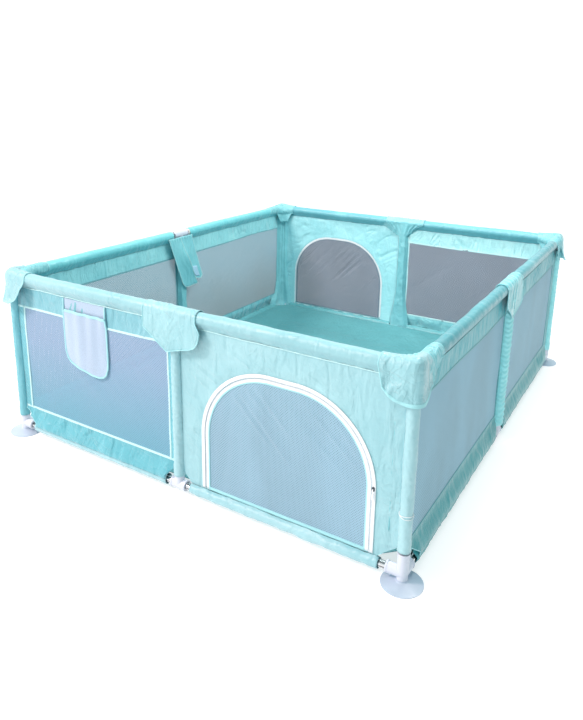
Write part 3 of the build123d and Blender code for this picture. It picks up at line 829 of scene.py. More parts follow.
def surround(wall, seed):
    """The cloth panel round a door, from the rail seam to the bottom hem."""
    half = WALLS[wall][3]
    legs, rounds, flat = rows = (64, 96, 30)
    inner_s, inner_z = arch(-0.0005, rows, low=DOOR_HEM)
    near, far, top = POST_EDGE, half - POST_EDGE, SEAM + 0.001
    # the panel's outline, in stretches that face those of the arch
    left = [(near + 0.032, DOOR_HEM), (near, 0.085), (near, DOOR_TOP - DOOR_ROUND)]
    right = [(far, DOOR_TOP - DOOR_ROUND), (far, CUT_HIGH), (half - CUT_WIDE, DOOR_HEM)]
    crown = [(DOOR_MIDDLE - 0.043, top), (DOOR_MIDDLE + 0.043, top)]
    stretches = (
        (left, legs),
        ([left[-1], (near, top), crown[0]], rounds),
        (crown, flat),
        ([crown[1], (far, top), right[0]], rounds),
        (right, legs),
    )
    lines = [resample(*np.array(points).T, count) for points, count in stretches]
    outer_s, outer_z = (
        np.concatenate([lines[0][k][:1]] + [line[k][1:] for line in lines]) for k in (0, 1)
    )
    w = np.linspace(0, 1, 56)[:, None]
    S = inner_s * (1 - w) + outer_s * w
    Z = inner_z * (1 - w) + outer_z * w
    edge = np.minimum(np.minimum(S - near, far - S), SEAM - Z)
    from_arch = w * np.hypot(outer_s - inner_s, outer_z - inner_z)
    free = ease(edge / 0.02) * ease((from_arch - 0.010) / 0.03)
    D = 0.0030 * noise(S / 0.11, Z / 0.12, seed) + 0.0010 * noise(S / 0.03, Z / 0.02, seed + 1)
    by_post = np.exp(-(far - S) / 0.07) + 0.5 * np.exp(-(S - near) / 0.05)
    D += 0.0032 * by_post * creases(S, Z, 8, 0.12, 0.015, seed + 2)
    here = ease(noise(S / 0.15, Z / 0.15, seed + 4) + 0.1)
    D += 0.0042 * creases(S, Z, -28, 0.15, 0.022, seed + 3) * here
    # puckers under the rail seam
    D += 0.0022 * np.exp(-(SEAM - Z) / 0.03) * noise(S / 0.011, Z / 0.05, seed + 6)
    D *= free
    piece = Piece(f"door_panel_{wall}")
    piece.grid(put(wall, S, D, Z), aqua(wall, "panel", "panel"), thick=CLOTH_THICK)
    piece.tube(put(wall, S[-1, -8:], D[-1, -8:], Z[-1, -8:]), 0.0015, M_BIND)
    made = piece.make()
    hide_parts(f"door_surround_{wall}")


def arch_strip(piece, wall, inset_a, inset_b, d, material, thick, wave=0.0):
    """A ribbon that follows the arch between two insets."""
    lines = [arch(inset) for inset in np.linspace(inset_a, inset_b, 5)]
    S = np.array([line[0] for line in lines])
    Z = np.array([line[1] for line in lines])
    D = d + wave * noise(S / 0.03, Z / 0.03, 3)
    piece.grid(put(wall, S, D, Z), material, thick=thick)


def coil(piece, wall, inset, d, material, shift):
    """The zip's teeth: small bars set across the line of the arch, from shift on."""
    s, z = arch(inset)
    far = distance(s, z)
    at = np.arange(0.004, far[-1], 0.0032) + shift
    at = at[at < far[-1]]
    S, Z = np.interp(at, far, s), np.interp(at, far, z)
    ds, dz = np.gradient(S), np.gradient(Z)
    length = np.hypot(ds, dz)
    ds, dz = ds / length, dz / length
    reach, wide, tall = 0.0016, 0.0009, 0.0008
    ring = [(-1, -1), (1, -1), (1, 1), (-1, 1)]
    corners = [(i, j, h) for h in (0, 1) for i, j in ring]
    box = np.array([[4, 5, 6, 7], [0, 1, 5, 4], [1, 2, 6, 5], [2, 3, 7, 6], [3, 0, 4, 7], [3, 2, 1, 0]])
    points = []
    for k, (a, b) in enumerate(zip(S, Z)):
        for i, j, h in corners:
            # the bars taper upward
            along, across = wide * i * (1 - 0.3 * h), reach * j
            points.append(put(wall, a + ds[k] * along - dz[k] * across, d + tall * h,
                              b + dz[k] * along + ds[k] * across))
    faces = (8 * np.arange(len(S)))[:, None, None] + box
    piece.add(np.array(points), faces.reshape(-1, 4), material)


def door(wall, seed):
    """The mesh leaf with its binding and tape, and the fixed tape of the zip."""
    leaf = Piece(f"door_net_{wall}")
    inset = 0.01
    hem_z = DOOR_LOW + 0.001
    outer_s, outer_z = arch(inset, low=hem_z)
    centre_s = DOOR_MIDDLE + (outer_s - DOOR_MIDDLE) * 0.02
    w = np.linspace(0, 1, 70)[:, None]
    S = outer_s * (1 - w) + centre_s * w
    Z = outer_z * (1 - w) + hem_z * w
    free = ease(np.minimum(w / 0.1, (Z - DOOR_LOW) / 0.05))
    D = 0.0022 * noise(S / 0.16, Z / 0.14, seed)
    slack = creases(S, Z, -46, 0.34, 0.040, seed + 2)
    D = (D + 0.0030 * slack * ease((Z - 0.20) / 0.12)) * free
    # four long folds from the upper left: how far across, and where each starts and stops
    across = (S - DOOR_MIDDLE) * 0.72 + (Z - 0.30) * 0.69
    along = (S - DOOR_MIDDLE) * 0.69 - (Z - 0.30) * 0.72
    folds = ((-0.055, -0.24, 0.02), (-0.030, -0.23, 0.10), (0.0, -0.22, -0.02), (0.032, -0.20, 0.04))
    for offset, start, stop in folds:
        reach = ease((along - start) / 0.02) * ease((stop - along) / 0.10)
        D = D + 0.0040 * np.exp(-(((across - offset) / 0.005) ** 2)) * reach * free
    leaf.grid(put(wall, S, D, Z), M_DOOR_NET)
    # the inner ply, in painted shade
    leaf.grid(put(wall, S, D - 0.0008, Z), M_NET_END_INNER_SHADE)
    body = f"door_leaf_{wall}_body"
    made = leaf.make(body)
    hem = Piece(f"door_tape_{wall}")
    arch_strip(hem, wall, 0.0012, TAPE, 0.0012, M_TAPE, 0.0013, 0.0002)
    arch_strip(hem, wall, TAPE - 0.001, TAPE + 0.004, 0.0006, M_BIND, 0.0022)
    coil(hem, wall, 0.0020, 0.0018, M_COIL, 0.0016)
    s = along_wall(DOOR_MIDDLE - DOOR_HALF + 0.002, DOOR_MIDDLE + DOOR_HALF - 0.002, 0.01)
    edge_band(hem, wall, s, DOOR_LOW + 0.0018, 0.0104, M_BIND, 0.0022, d=0.0004)
    tape_made = hem.make(body)
    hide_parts(f"door_leaf_{wall}")
    fixed = Piece(f"zip_fixed_tape_{wall}")
    arch_strip(fixed, wall, -TAPE - 0.001, -0.0012, 0.0026, M_TAPE, 0.0013, 0.0002)
    coil(fixed, wall, -0.0020, 0.0030, M_COIL, 0)
    made = fixed.make()
    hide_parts(f"zip_tape_{wall}")


# ---- posts ----


def post_sleeve(name, wall, x, y, low, seed, spiral=0.0, radius=POST_R):
    """The padded sleeve of a post; spiral is how deep the folds of its own pull are."""
    z = along_wall(low, POST_TOP, 0.004)
    turn = np.linspace(0, TURN, 48, endpoint=False)
    Z, T = pairs(z, turn)
    r = radius + 0.0007 * noise(Z / 0.06, np.sin(T) * 2 + 5, seed)
    r = r + 0.0005 * noise(Z / 0.02, np.cos(T) * 3, seed + 1)
    # herringbone folds that meet at the seam
    from_seam = np.abs((T + 0.8 + math.pi) % TURN - math.pi)
    bend = 2.2 * noise(Z / 0.05, T, seed + 2)
    slant = np.sin(TURN * (Z - 0.45 * radius * from_seam) / 0.019 + bend)
    r += (0.0004 + spiral * 0.0018) * slant * ease(1.4 - from_seam / 2.4)
    r += (radius - POST_R) * 0.12 * noise(Z / 0.10, T, seed + 3)
    r -= 0.0016 * np.exp(-np.minimum(Z - low, POST_TOP - Z) / 0.003)
    # it never stands far off the post, and its foot goes round the lower connector
    connector_top, around_connector = 0.104, 0.0182
    r = np.minimum(r, max(radius, around_connector) + 0.003)
    r = np.where(Z < connector_top, np.maximum(r, around_connector), r)
    p = np.stack([x + r * np.cos(T), y + r * np.sin(T), Z], -1)
    piece = Piece(f"post_cover_{name}")
    part = "shaded" if name == "front_left" else "post"
    look = "padded" if spiral < 0.3 else "ruched"
    piece.grid(p, aqua(wall, part, look), thick=0.0012, close_v=True)
    made = piece.make()
    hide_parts("post_sleeves")


# ---- flaps and hoods ----


def leaf_hem(s):
    """The lower edge of a closed middle flap."""
    return np.interp(s, [-0.110, -0.019, 0.070, 0.089, 0.100, 0.106, 0.109],
                     [0.549, 0.484, 0.508, 0.517, 0.529, 0.542, 0.561])


def middle_flap(wall, seed):
    """A flap over a middle connector: sewn inside, over the rail, and down outside."""
    piece = Piece(f"middle_flap_{wall}")
    left, right = -0.110, 0.092
    hem_s = np.concatenate([np.linspace(left, -0.019, 22), np.linspace(-0.0145, 0.085, 24),
                            np.linspace(0.089, 0.109, 9)])
    hem_z = leaf_hem(hem_s)
    # the outer leaf, from its hem up to the rail's axis
    rise = np.linspace(0, 1, 22)[:, None]
    start = np.linspace(left, right, len(hem_s))
    out_s = hem_s + (start - hem_s) * ease(rise * 1.15)
    out_z = hem_z + (TOP_AXIS - hem_z) * rise
    flare = 0.0030 * (1 - rise) * ease((hem_s - 0.05) / 0.05)
    out_d = SKIN_R + flare + 0.0008 * (1 - rise)
    tilt = creases(out_s, out_z, 52, 0.11, 0.026, seed) * ease((0.02 - out_s) / 0.06)
    out_d = out_d + 0.0022 * tilt + 0.0009 * noise(out_s / 0.04, out_z / 0.04, seed + 1)
    # over the rail
    turn = np.linspace(math.radians(90), math.radians(-96), 24)[1:, None]
    radius = SKIN_R + 0.0006 * noise(start / 0.02, turn * 1.5, seed + 2)
    radius = radius + 0.0016 * creases(start, 0.02 * turn, 84, 0.06, 0.016, seed + 3)
    over_d, over_z = radius * np.sin(turn), TOP_AXIS + radius * np.cos(turn)
    over_s = np.broadcast_to(start, over_d.shape)
    # the inner leaf: gathered to the post in the middle, wide and high at its ends
    post_s = 0.002
    low_s = np.interp(start, [left, post_s, right], [-0.079, post_s, 0.121])
    beside = np.where(low_s < post_s, (post_s - low_s) / 0.081, (low_s - post_s) / 0.119)
    inner_end = 0.512 + 0.072 * beside
    fall = np.linspace(0, 1, 16)[1:, None]
    in_s = start + (low_s - start) * ease(fall)
    in_z = over_z[-1] + (inner_end - over_z[-1]) * fall
    by_post = np.exp(-((in_s / 0.024) ** 4))
    gathers = np.sin(TURN * (in_s - post_s) / (0.012 + 0.02 * (1 - fall)) + seed)
    in_d = -SKIN_R + fall * (0.0150 - 0.0115 * by_post)
    in_d = in_d - 0.0030 * gathers * bulge(fall)
    S = np.concatenate([out_s, over_s, in_s])
    D = np.concatenate([out_d, over_d, in_d])
    Z = np.concatenate([out_z, over_z, in_z])
    piece.grid(put(wall, S, D, Z), aqua(wall, "flap", "crisp"), thick=CLOTH_THICK)
    # the binding runs round the outer leaf, and a little over the rail
    row = 26
    edge = hem_line(np.stack([S, D, Z], -1)[:row][::-1].swapaxes(0, 1))
    piece.tube(put(wall, edge[:, 0], edge[:, 1] + 0.0006, edge[:, 2]), 0.0018, M_BIND)
    if wall == "right":
        # two arcs of piping, from over the rail down the outer leaf
        rows = np.arange(5, 40)
        away = np.linspace(1, 0, len(rows))
        lift = 0.0012 * np.cos(np.linspace(0, 1.2, len(rows)))
        index = np.arange(len(start))
        for column in (25, 36):
            s, d, z = (
                np.array([np.interp(x, index, part[k]) for k, x in zip(rows, column - 12 * away**2)])
                for part in (S, D, Z)
            )
            piece.tube(put(wall, s, d + lift, z + 0.0010), 0.0018, M_BIND)
    made = piece.make(None)
    put(wall, 0.0, 0.012, 0.612)
    put(wall, 0.0, 0.0205, 0.612)
    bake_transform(made)
    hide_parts(f"flap_{wall}_middle", "flap_saddles")


def open_flap(seed):
    """The flap that is folded back over the left rail and hangs inside, folded in two leaves."""
    wall, body = "left", "flap_left_middle_body"
    piece = Piece("open_flap_left")
    top, high = 0.594, 0.238
    u = np.linspace(0, 1, 57)
    z = np.linspace(top, top - high, 36)
    U, Z = pairs(u, z)
    fall = (top - Z) / high
    waist = 0.020 * bulge(U) * (1 - fall)
    S = 0.100 - 0.160 * U - fall * (0.086 - 0.012 * U - waist)
    bottom = np.interp(u, [0, 0.08, 0.2, 0.47, 0.53, 0.62, 0.9, 1.0],
                       [0.012, -0.002, -0.006, 0.004, 0.010, 0.022, 0.012, 0.024])
    Z = Z + bottom[:, None] * fall**2
    # the fold between the leaves stands off the wall
    ridge = np.where(U < 0.5, (U / 0.5) ** 1.6, np.exp(-np.clip(U - 0.5, 0, 1) / 0.045))
    D = -0.0236 - 0.004 * fall - 0.024 * ridge * ease(fall * 1.6)
    D = D + 0.004 * ease((U - 0.6) / 0.4) * fall
    D = D - 0.0014 * creases(-S, Z, 66, 0.14, 0.030, seed + 1)
    D = D - 0.0016 * noise(-S / 0.03, Z / 0.04, seed)
    D = D - 0.0014 * np.sin(TURN * U * 9) * np.exp(-fall / 0.06)
    piece.grid(put(wall, S, D, Z), aqua(wall, "flap", "padded"), thick=0.0020)
    piece.tube(put(wall, *hem_line(np.stack([S, D, Z], -1)).T), 0.0017, M_LIT_TRIM)
    fold = len(u) // 2
    piece.tube(put(wall, S[fold], D[fold] - 0.001, Z[fold]), 0.0014, M_LIT_TRIM)
    made = piece.make(body)
    patch = Piece("hook_patch_left")
    there = slice(36, 49), slice(24, 34)
    patch.grid(put(wall, S[there], D[there] - 0.0020, Z[there]), M_PATCH, thick=CLOTH_THICK)
    patch_made = patch.make(body)
    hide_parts("flap_left_middle")


def shade_wall(corner):
    """The wall whose painted light and shade a corner's cloth takes."""
    return "right" if corner == "back_right" else corner.split("_")[0]


def hood(corner, seed, flare):
    """A corner hood: one sheet swept round the corner, from over the rails down to its hem.

    flare is how far its hem stands off.
    """
    sx, sy = CORNERS[corner]
    reach, side_reach = 0.088, 0.050
    inside, out = 0.0135, 0.0236
    # its edge inside the pen and its fold outside, in plan; run is how far along the rail
    inner, outer, run = [], [], []
    for p in np.linspace(reach, 0, 26, endpoint=False):
        inner.append((max(p, inside), inside))
        outer.append((p, -out))
        run.append(p)
    for a in np.linspace(0, math.pi / 2, 13):
        inner.append((inside, inside))
        outer.append((-out * math.sin(a), -out * math.cos(a)))
        run.append(0.0)
    for q in np.linspace(0, side_reach, 16)[1:]:
        inner.append((inside, max(q, inside)))
        outer.append((-out, q))
        run.append(-q)
    inner, outer, run = np.array(inner), np.array(outer), np.array(run)
    turn = np.linspace(-0.75, math.pi / 2, 18)
    f = ((np.sin(turn) - np.sin(turn[0])) / (1 - np.sin(turn[0])))[:, None]
    crown = 0.0228 + 0.0070 * np.exp(-((run / 0.05) ** 2))
    plan = inner[:, None] * (1 - f) + outer[:, None] * f
    top_z = TOP_AXIS + crown[:, None] * np.cos(turn)
    front_hem = 0.513 + 0.034 * (np.clip(run, 0, 1) / reach) ** 2.4
    hem = np.where(run >= 0, front_hem, 0.514 + 0.034 * ease(-run / side_reach) ** 1.5)
    fall = np.linspace(0, 1, 24)[1:]
    low_z = TOP_AXIS + (hem[:, None] - TOP_AXIS) * fall
    way = np.stack([np.where(run > 0, 0, outer[:, 0]), np.where(run < 0, 0, outer[:, 1])], 1)
    way /= np.linalg.norm(way, axis=1, keepdims=True)
    spread = flare * fall**1.5 - 0.0015 * bulge(fall)
    low = outer[:, None] + way[:, None] * spread[:, None]
    # the front leg narrows toward its hem
    low[..., 0] -= 0.17 * np.clip(run, 0, 1)[:, None] * fall**1.3
    P = np.concatenate([plan, low], 1)
    Z = np.concatenate([top_z, low_z], 1)
    R = np.broadcast_to(run[:, None], Z.shape)
    fold = creases(R, Z, -38, 0.10, 0.030, seed) * ease((0.612 - Z) / 0.05) * ease((R + 0.01) / 0.03)
    wave = 0.0062 * fold + 0.0016 * noise(R / 0.03, Z / 0.03, seed + 1)
    wave = wave + 0.0006 * noise(R / 0.012, Z / 0.015, seed + 2)
    wave = wave * ease((0.6262 - Z) / 0.004 + 0.4)
    # the free end of the front leg stands off the rail a little
    wave = wave + 0.0030 * ease((R - reach + 0.02) / 0.02) * ease((0.60 - Z) / 0.04)
    P = P + way[:, None] * wave[..., None]
    points = put_corner(corner, P[..., 0], P[..., 1], Z)
    piece = Piece(f"hood_{corner}")
    piece.grid(points, aqua(shade_wall(corner), "flap", "crisp"), thick=0.0018)
    outward = np.stack([-sx * way[:, 0], -sy * way[:, 1], np.zeros(len(way))], 1)[:, None]
    piece.grid(points[:, -3:] + 0.0004 * outward, M_BIND, thick=0.0020)
    piece.tube(hem_line(points), 0.0018, M_BIND)
    made = piece.make(f"flap_{corner}_body")
    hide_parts(f"flap_{corner}")


def elbow(corner, seed):
    """The gathered cloth inside an upper corner, from one rail cover round to the other."""
    # a quarter of a ring round a centre that is this far from both rails
    centre = reach = 0.078
    turn = np.linspace(math.radians(172), math.radians(278), 46)
    ring = np.linspace(0.35, -2.5, 22)
    T, G = pairs(turn, ring)
    far = np.abs(T - math.radians(225))
    folds = np.sin(T * 34 + 2.0 * noise(T * 3, G, seed)) * ease(1.1 - far)
    tube = 0.0218 + 0.0012 * folds + 0.0008 * noise(T * 9, G * 3, seed + 1)
    tube = tube + 0.006 * ease((-G - 1.2) / 1.2) * np.exp(-((far / 0.6) ** 2))
    radial = reach + tube * np.sin(G)
    Z = TOP_AXIS + tube * np.cos(G)
    A = centre + radial * np.cos(T)
    B = centre + radial * np.sin(T)
    # below the rails it hangs down to its seam, lowest in the corner
    drop = (Z[:, -1:] - 0.534) * ease((0.86 - far[:, -1:]) / 0.60)
    slide = np.linspace(0, 1, 8)[1:]
    skirt_z = Z[:, -1:] - drop * slide
    seam_a = centre + (reach - 0.020) * np.cos(T[:, :1])
    seam_b = centre + (reach - 0.020) * np.sin(T[:, :1])
    A = np.concatenate([A, A[:, -1:] + (seam_a - A[:, -1:]) * slide], 1)
    B = np.concatenate([B, B[:, -1:] + (seam_b - B[:, -1:]) * slide], 1)
    Z = np.concatenate([Z, skirt_z], 1)
    points = put_corner(corner, A, B, Z)
    piece = Piece(f"corner_gather_{corner}")
    piece.grid(points, M_RUCHED, thick=0.0014)
    made = piece.make()


def inner_strip(name, plan, slim, foot, seed):
    """The cloth over a post on the inside.

    slim is its half width. With a foot, the half width at the floor, it also covers the lower
    connector. plan(u, wide) gives the plan points for u from -1 to 1 and a half width.
    """
    top = 0.55
    z = np.linspace(0.140, top, 60)
    if foot:
        z = np.concatenate([np.linspace(0.003, 0.13, 24), z])
    u = np.linspace(-1, 1, 31)
    U, Z = pairs(u, z)
    wide = slim + ((foot or slim) - slim) * ease((0.26 - Z) / 0.24)
    if name == "back_left":
        # wider on the left wall's side; on the other one the door's zip is in the way
        wide = wide + 0.030 * ease((0.13 - Z) / 0.08) * (U > 0)
    X, Y, nx, ny = plan(U, wide)
    wave = 0.0022 * creases(U * 0.03, Z, 25, 0.05, 0.020, seed)
    wave = wave + 0.0012 * noise(U * 2, Z / 0.02, seed + 1)
    wave *= ease((top - Z) / 0.05) * (1 - U**6)
    piece = Piece(f"inner_strip_{name}")
    piece.grid(np.stack([X + nx * wave, Y + ny * wave, Z], -1), M_CLOTH, thick=0.0012)
    made = piece.make()


def inner_strips():
    """The cloth over all the posts inside the pen, with a foot where the photo shows one."""
    slant = math.sqrt(0.5)
    for k, (corner, (sx, sy)) in enumerate(CORNERS.items()):
        def plan(U, wide):
            inset, bend = 0.0190, 0.010
            along = np.abs(U) * (wide - inset + bend)
            close = inset - (inset - 0.0025) * ease((np.abs(U) - 0.6) / 0.4)
            a = np.where(U < 0, inset + along, close) + bend * (np.exp(-along / bend) - 0.5)
            b = np.where(U > 0, inset + along, close) + bend * (np.exp(-along / bend) - 0.5)
            return sx * (HALF_WIDTH - a), sy * (HALF_DEPTH - b), -sx * slant, -sy * slant
        inner_strip(corner, plan, 0.040, 0.080 if corner == "back_left" else 0, 300 + k)
    for k, wall in enumerate(WALLS):
        origin, along, out, _ = WALLS[wall]
        def plan(U, wide):
            s = U * wide
            d = -0.0200 + 0.0165 * ease((np.abs(U) - 0.55) / 0.45)
            x, y = (origin[i] + s * along[i] + d * out[i] for i in (0, 1))
            return x, y, -out[0], -out[1]
        inner_strip(f"{wall}_middle", plan, 0.026, 0.056 if wall in ("back", "left") else 0, 320 + k)


def corner_wrap(corner, seed):
    """The gathered end of the long rail's cover, that comes out from under the hood."""
    q = np.linspace(0.030, 0.142, 50)
    turn = np.linspace(-2.2, math.pi / 2, 26)
    Q, T = pairs(q, turn)
    ring = np.sin(TURN * Q / 0.0125 + 1.6 * noise(Q / 0.03, T * 1.2, seed))
    r = 0.0222 + 0.0010 * ring * ease((0.15 - Q) / 0.03)
    r = r + 0.0010 * noise(Q / 0.02, T * 2, seed + 1)
    r = r - 0.0018 * ease((Q - 0.120) / 0.02)
    out = -r * np.sin(T)
    Z = TOP_AXIS + r * np.cos(T)
    low = 0.516 + 0.084 * ease((q - 0.030) / 0.11)
    fall = np.linspace(0, 1, 14)[1:]
    low_z = TOP_AXIS + (low[:, None] - TOP_AXIS) * fall
    low_out = out[:, -1:] + 0.0045 * fall * ease((TOP_AXIS - low[:, None]) / 0.05)
    gathers = np.sin(TURN * (Q[:, :1] + 0.3 * (TOP_AXIS - low_z)) / 0.017 + seed)
    A = np.concatenate([out, low_out - 0.0016 * gathers], 1)
    Z = np.concatenate([Z, low_z], 1)
    Q = np.concatenate([Q, np.repeat(Q[:, :1], len(fall), 1)], 1)
    points = put_corner(corner, A, Q, Z)
    piece = Piece(f"corner_wrap_{corner}")
    piece.grid(points, M_RUCHED, thick=0.0014)
    piece.tube(np.concatenate([points[:, -1], points[-1, ::-1][1:]]), 0.0015, M_BIND)
    made = piece.make()
    f"top_rail_{corner.split('_')[1]}"


# ---- pocket, floor, small things ----


def pocket(seed):
    """The hanging pocket on the front window: a net back and a loose net bag with a binding."""
    left, right, mouth, top = -0.490, -0.290, 0.524, 0.566
    # the bag's lower edge, with its round corners
    bottom_line = (
        (left, 0.400), (-0.487, 0.375), (-0.478, 0.356), (-0.462, 0.342), (-0.440, 0.333),
        (-0.400, 0.324), (-0.360, 0.317), (-0.330, 0.316), (-0.312, 0.320), (-0.300, 0.331),
        (-0.293, 0.348), (right, 0.380),
    )
    s = np.concatenate([np.linspace(left, -0.478, 5)[:-1], np.linspace(-0.478, -0.306, 34)[:-1],
                        np.linspace(-0.306, right, 7)])
    v = np.linspace(0, 1, 34)
    bottom = np.interp(s, *np.array(bottom_line).T)
    S, V = pairs(s, v)
    Z = mouth + (bottom[:, None] - mouth) * V
    across = (S - left) / (right - left)
    belly = bulge(across) ** 0.6
    D = 0.0040 + 0.0100 * belly * (0.35 + 0.65 * bulge(V * 0.9 + 0.05))
    folds = np.sin(TURN * across * 3.2 + 1.5 * noise(V * 2, across * 2, seed))
    D += 0.0022 * folds * belly * (1 - 0.5 * V)
    # the mouth gapes at its right end
    D += 0.0050 * ease((across - 0.80) / 0.15) * ease((0.25 - V) / 0.25)
    piece = Piece("pocket_bag")
    piece.grid(put("front", S, D, Z), M_POCKET)
    made = piece.make()
    trim = Piece("pocket_binding")
    path = hem_line(np.stack([S, D, Z], -1)) + (0, 0.0002, 0)
    trim.tube(put("front", *path.T), 0.0034, M_BIND, flat=0.9)
    edge_band(trim, "front", s, mouth, 0.009, M_BIND, 0.0030, d=D[:, 0])
    for edge in (left + 0.003, right - 0.003):
        z = np.linspace(mouth, top, 8)
        trim.tube(put("front", edge, 0.0040 + 0.002 * (top - z) / 0.04, z), 0.0028, M_BIND)
    trim_made = trim.make()
    back = Piece("pocket_back")
    S, Z = pairs(np.linspace(left, right, 30), np.linspace(top, 0.34, 24))
    D = 0.0026 + 0.0008 * noise(S / 0.03, Z / 0.05, seed + 5)
    inset = np.clip((0.40 - Z) / 0.06, 0, 1) ** 2 * 0.05
    S = S + inset * (1 - 2 * (S - left) / (right - left))
    back.grid(put("front", S, D, Z), M_POCKET)
    back_made = back.make()
    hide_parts("storage_pocket")


def floor_sheet(seed):
    """The floor cloth; its edge climbs over the bottom rail covers to the wall cloth."""
    low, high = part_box("floor_cloth")
    reach = np.concatenate([np.linspace(0.004, 0.93, 130), np.linspace(0.935, 0.9935, 22)])
    around = np.linspace(0, TURN, 480, endpoint=False)
    c, s = np.cos(around), np.sin(around)
    # how far the outline, with its cut corners, is in each direction
    far = 1 / np.maximum(np.abs(c) / (high.x - 0.001), np.abs(s) / (high.y - 0.001))
    cut = (high.x + high.y - 0.052) / (np.abs(c) + np.abs(s))
    far = np.minimum(far, cut)
    X = reach[:, None] * (far * c)
    Y = reach[:, None] * (far * s)
    rise = 0.0024 * noise(X / 0.25, Y / 0.2, seed) + 0.0026 * creases(X, Y, 20, 0.5, 0.07, seed + 1)
    rise += 0.0022 * creases(X, Y, -60, 0.4, 0.06, seed + 2)
    rise *= ease((1 - reach[:, None]) / 0.02)
    inward = (1 - reach[:, None]) * far
    climb = 0.040 * ease((0.20 - inward) / 0.195) * (1 + 0.04 * noise(X / 0.05, Y / 0.05, seed + 3))
    Z = np.maximum((low.z + high.z) / 2 + rise, 0.0014) + climb
    piece = Piece("floor_sheet")
    piece.grid(np.stack([X, Y, Z], -1), M_FLOOR, thick=0.0016, close_v=True)
    made = piece.make()
    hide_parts("floor_cloth")


def post_tie():
    """The thin tie round the front right post: two tilted rings that cross."""
    turn = np.linspace(0, TURN, 40, endpoint=False)
    x = HALF_WIDTH + 0.0186 * np.cos(turn)
    y = -HALF_DEPTH + 0.0186 * np.sin(turn)
    piece = Piece("post_tie")
    for tilt in (-0.005, 0.004):
        piece.tube(np.stack([x, y, 0.205 + tilt * np.cos(turn + 0.9)], 1), 0.0009, M_TAPE, closed=True)
    piece.make()


# ---- put it together ----

seed = 11
for wall in WALLS:
    for side in (-1, 1):
        seed += 3
        foam_tube(wall, side, seed + 240)
        rail_cover(wall, side, seed)
        skirt(wall, side, seed + 40)
        if wall in DOOR_WALLS and side == 1:
            continue
        top_band(wall, side, seed + 80)
        side_strip(wall, side, True, seed + 120)
        side_strip(wall, side, False, seed + 160)
        window(wall, side, seed + 200)
for wall, panel_seed, door_seed in (("front", 31, 5), ("back", 57, 9)):
    surround(wall, panel_seed)
    door(wall, door_seed)
for k, (corner, (sx, sy)) in enumerate(CORNERS.items()):
    low = 0.100 if corner == "front_right" else 0.068
    spiral = 0.4 if corner.startswith("back") else 0.0
    post_sleeve(corner, shade_wall(corner), sx * HALF_WIDTH, sy * HALF_DEPTH, low, 70 + k, spiral)
    hood(corner, 90 + 3 * k, {"front_left": 0.018, "back_right": 0.014}.get(corner, 0.003))
    corner_wrap(corner, 130 + k)
    elbow(corner, 190 + k)
for k, (wall, spiral) in enumerate({"front": 0.15, "right": 1.0, "back": 0.4, "left": 0.3}.items()):
    radius = THICK_POST_R if wall == "right" else POST_R
    post_sleeve(f"{wall}_middle", wall, *WALLS[wall][0], 0.066, 80 + k, spiral, radius)
    if wall != "left":
        middle_flap(wall, 150 + 7 * k)
open_flap(171)
pocket(44)
floor_sheet(61)
inner_strips()
post_tie()

# the CAD pieces that show get a material by the start of their names
FINISH = {
    "top_rail": M_STEEL, "bottom_rail": M_STEEL, "upright": M_STEEL, "lower_": M_PLASTIC,
    "upper_": M_PLASTIC, "suction": M_RUBBER, "zip_slider": M_SLIDER, "zip_pull": M_TAPE,
}
for name, node in NODES.items():
    for start, material in FINISH.items():
        if name.startswith(start):
            node.data.materials.clear()
            node.data.materials.append(material)
            node.data.polygons.foreach_set("material_index", [0] * len(node.data.polygons))

# ---- floor, lights and camera ----

# the ground is partly self-lit, as the photo's white background has hardly any shadow
M_GROUND = Material("studio_floor").finish(
    (0.55, 0.53, 0.53, 1.0), 0.6, Emission_Color=(1.0, 1.0, 1.0, 1.0), Emission_Strength=0.62
)
stage = Piece("studio_floor")
reach = np.linspace(-14, 14, 3)
X, Y = pairs(reach, reach)
stage.grid(np.stack([X, Y, np.full_like(X, -0.0005)], -1), M_GROUND)
stage.make(None)

world = bpy.data.worlds.new("studio")
bpy.context.scene.world = world
world.use_nodes = True
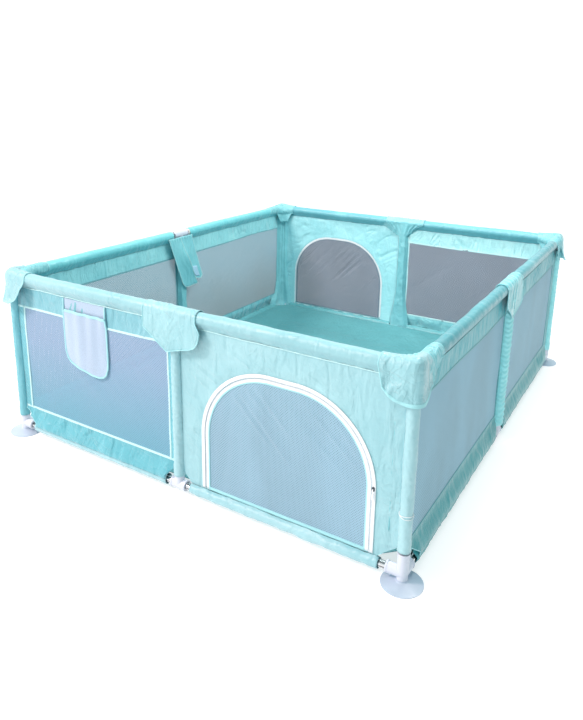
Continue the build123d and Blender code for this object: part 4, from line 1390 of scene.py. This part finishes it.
# the sky is darker toward +X, which shades the right wall, and bluer overhead
sky = Nodes(world.node_tree, "Generated")
toward_x, _, upward = sky.split(sky.place)
background = world.node_tree.nodes["Background"]
sky.give(background.inputs["Strength"], sky.spread(toward_x, -0.05, 0.65, 1.18, 0.45))
heaven = sky.ramp(upward, ((0.32, (1.0, 1.0, 1.0)), (0.50, (0.66, 0.90, 0.93))))
sky.give(background.inputs["Color"], heaven)


def area_light(name, place, target, size, power, colour):
    """A round lamp that looks at a target."""
    lamp = bpy.data.lights.new(name, "AREA")
    lamp.shape = "DISK"
    lamp.size = size
    lamp.energy = power
    lamp.color = colour
    thing = bpy.data.objects.new(name, lamp)
    bpy.context.scene.collection.objects.link(thing)
    thing.location = place
    thing.rotation_mode = "QUATERNION"
    thing.rotation_quaternion = (Vector(target) - Vector(place)).to_track_quat("-Z", "Y")


area_light("key", (-2.3, -3.6, 3.6), (0.0, -0.2, 0.30), 1.2, 205, (1.0, 0.72, 0.68))
area_light("inside_fill", (0.55, 0.25, 2.30), (-0.60, 0.15, 0.20), 1.2, 42, (1.0, 0.92, 0.88))

# the camera that fits the pen's posts, rails and feet
EYE = (1.249, -2.321, 1.223)
YAW, PITCH, ROLL = math.radians(-32.02), math.radians(14.68), math.radians(0.67)
lens = bpy.data.cameras.new("camera")
lens.sensor_width = 36.0
lens.lens = 33.175
lens.shift_x = 0.0176388889
lens.shift_y = -0.1236111111
camera = bpy.data.objects.new("camera", lens)
bpy.context.scene.collection.objects.link(camera)
ahead = Vector((math.sin(YAW) * math.cos(PITCH), math.cos(YAW) * math.cos(PITCH), -math.sin(PITCH)))
right = Vector((math.cos(YAW), -math.sin(YAW), 0))
up = right.cross(ahead)
turned = right * math.cos(ROLL) + up * math.sin(ROLL)
raised = up * math.cos(ROLL) - right * math.sin(ROLL)
camera.matrix_world = Matrix((
    (turned.x, raised.x, -ahead.x, EYE[0]),
    (turned.y, raised.y, -ahead.y, EYE[1]),
    (turned.z, raised.z, -ahead.z, EYE[2]),
    (0, 0, 0, 1),
))
bpy.context.scene.camera = camera
bpy.context.scene.view_settings.view_transform = "Standard"
bpy.context.scene.cycles.transparent_max_bounces = 16

bpy.context.view_layer.update()
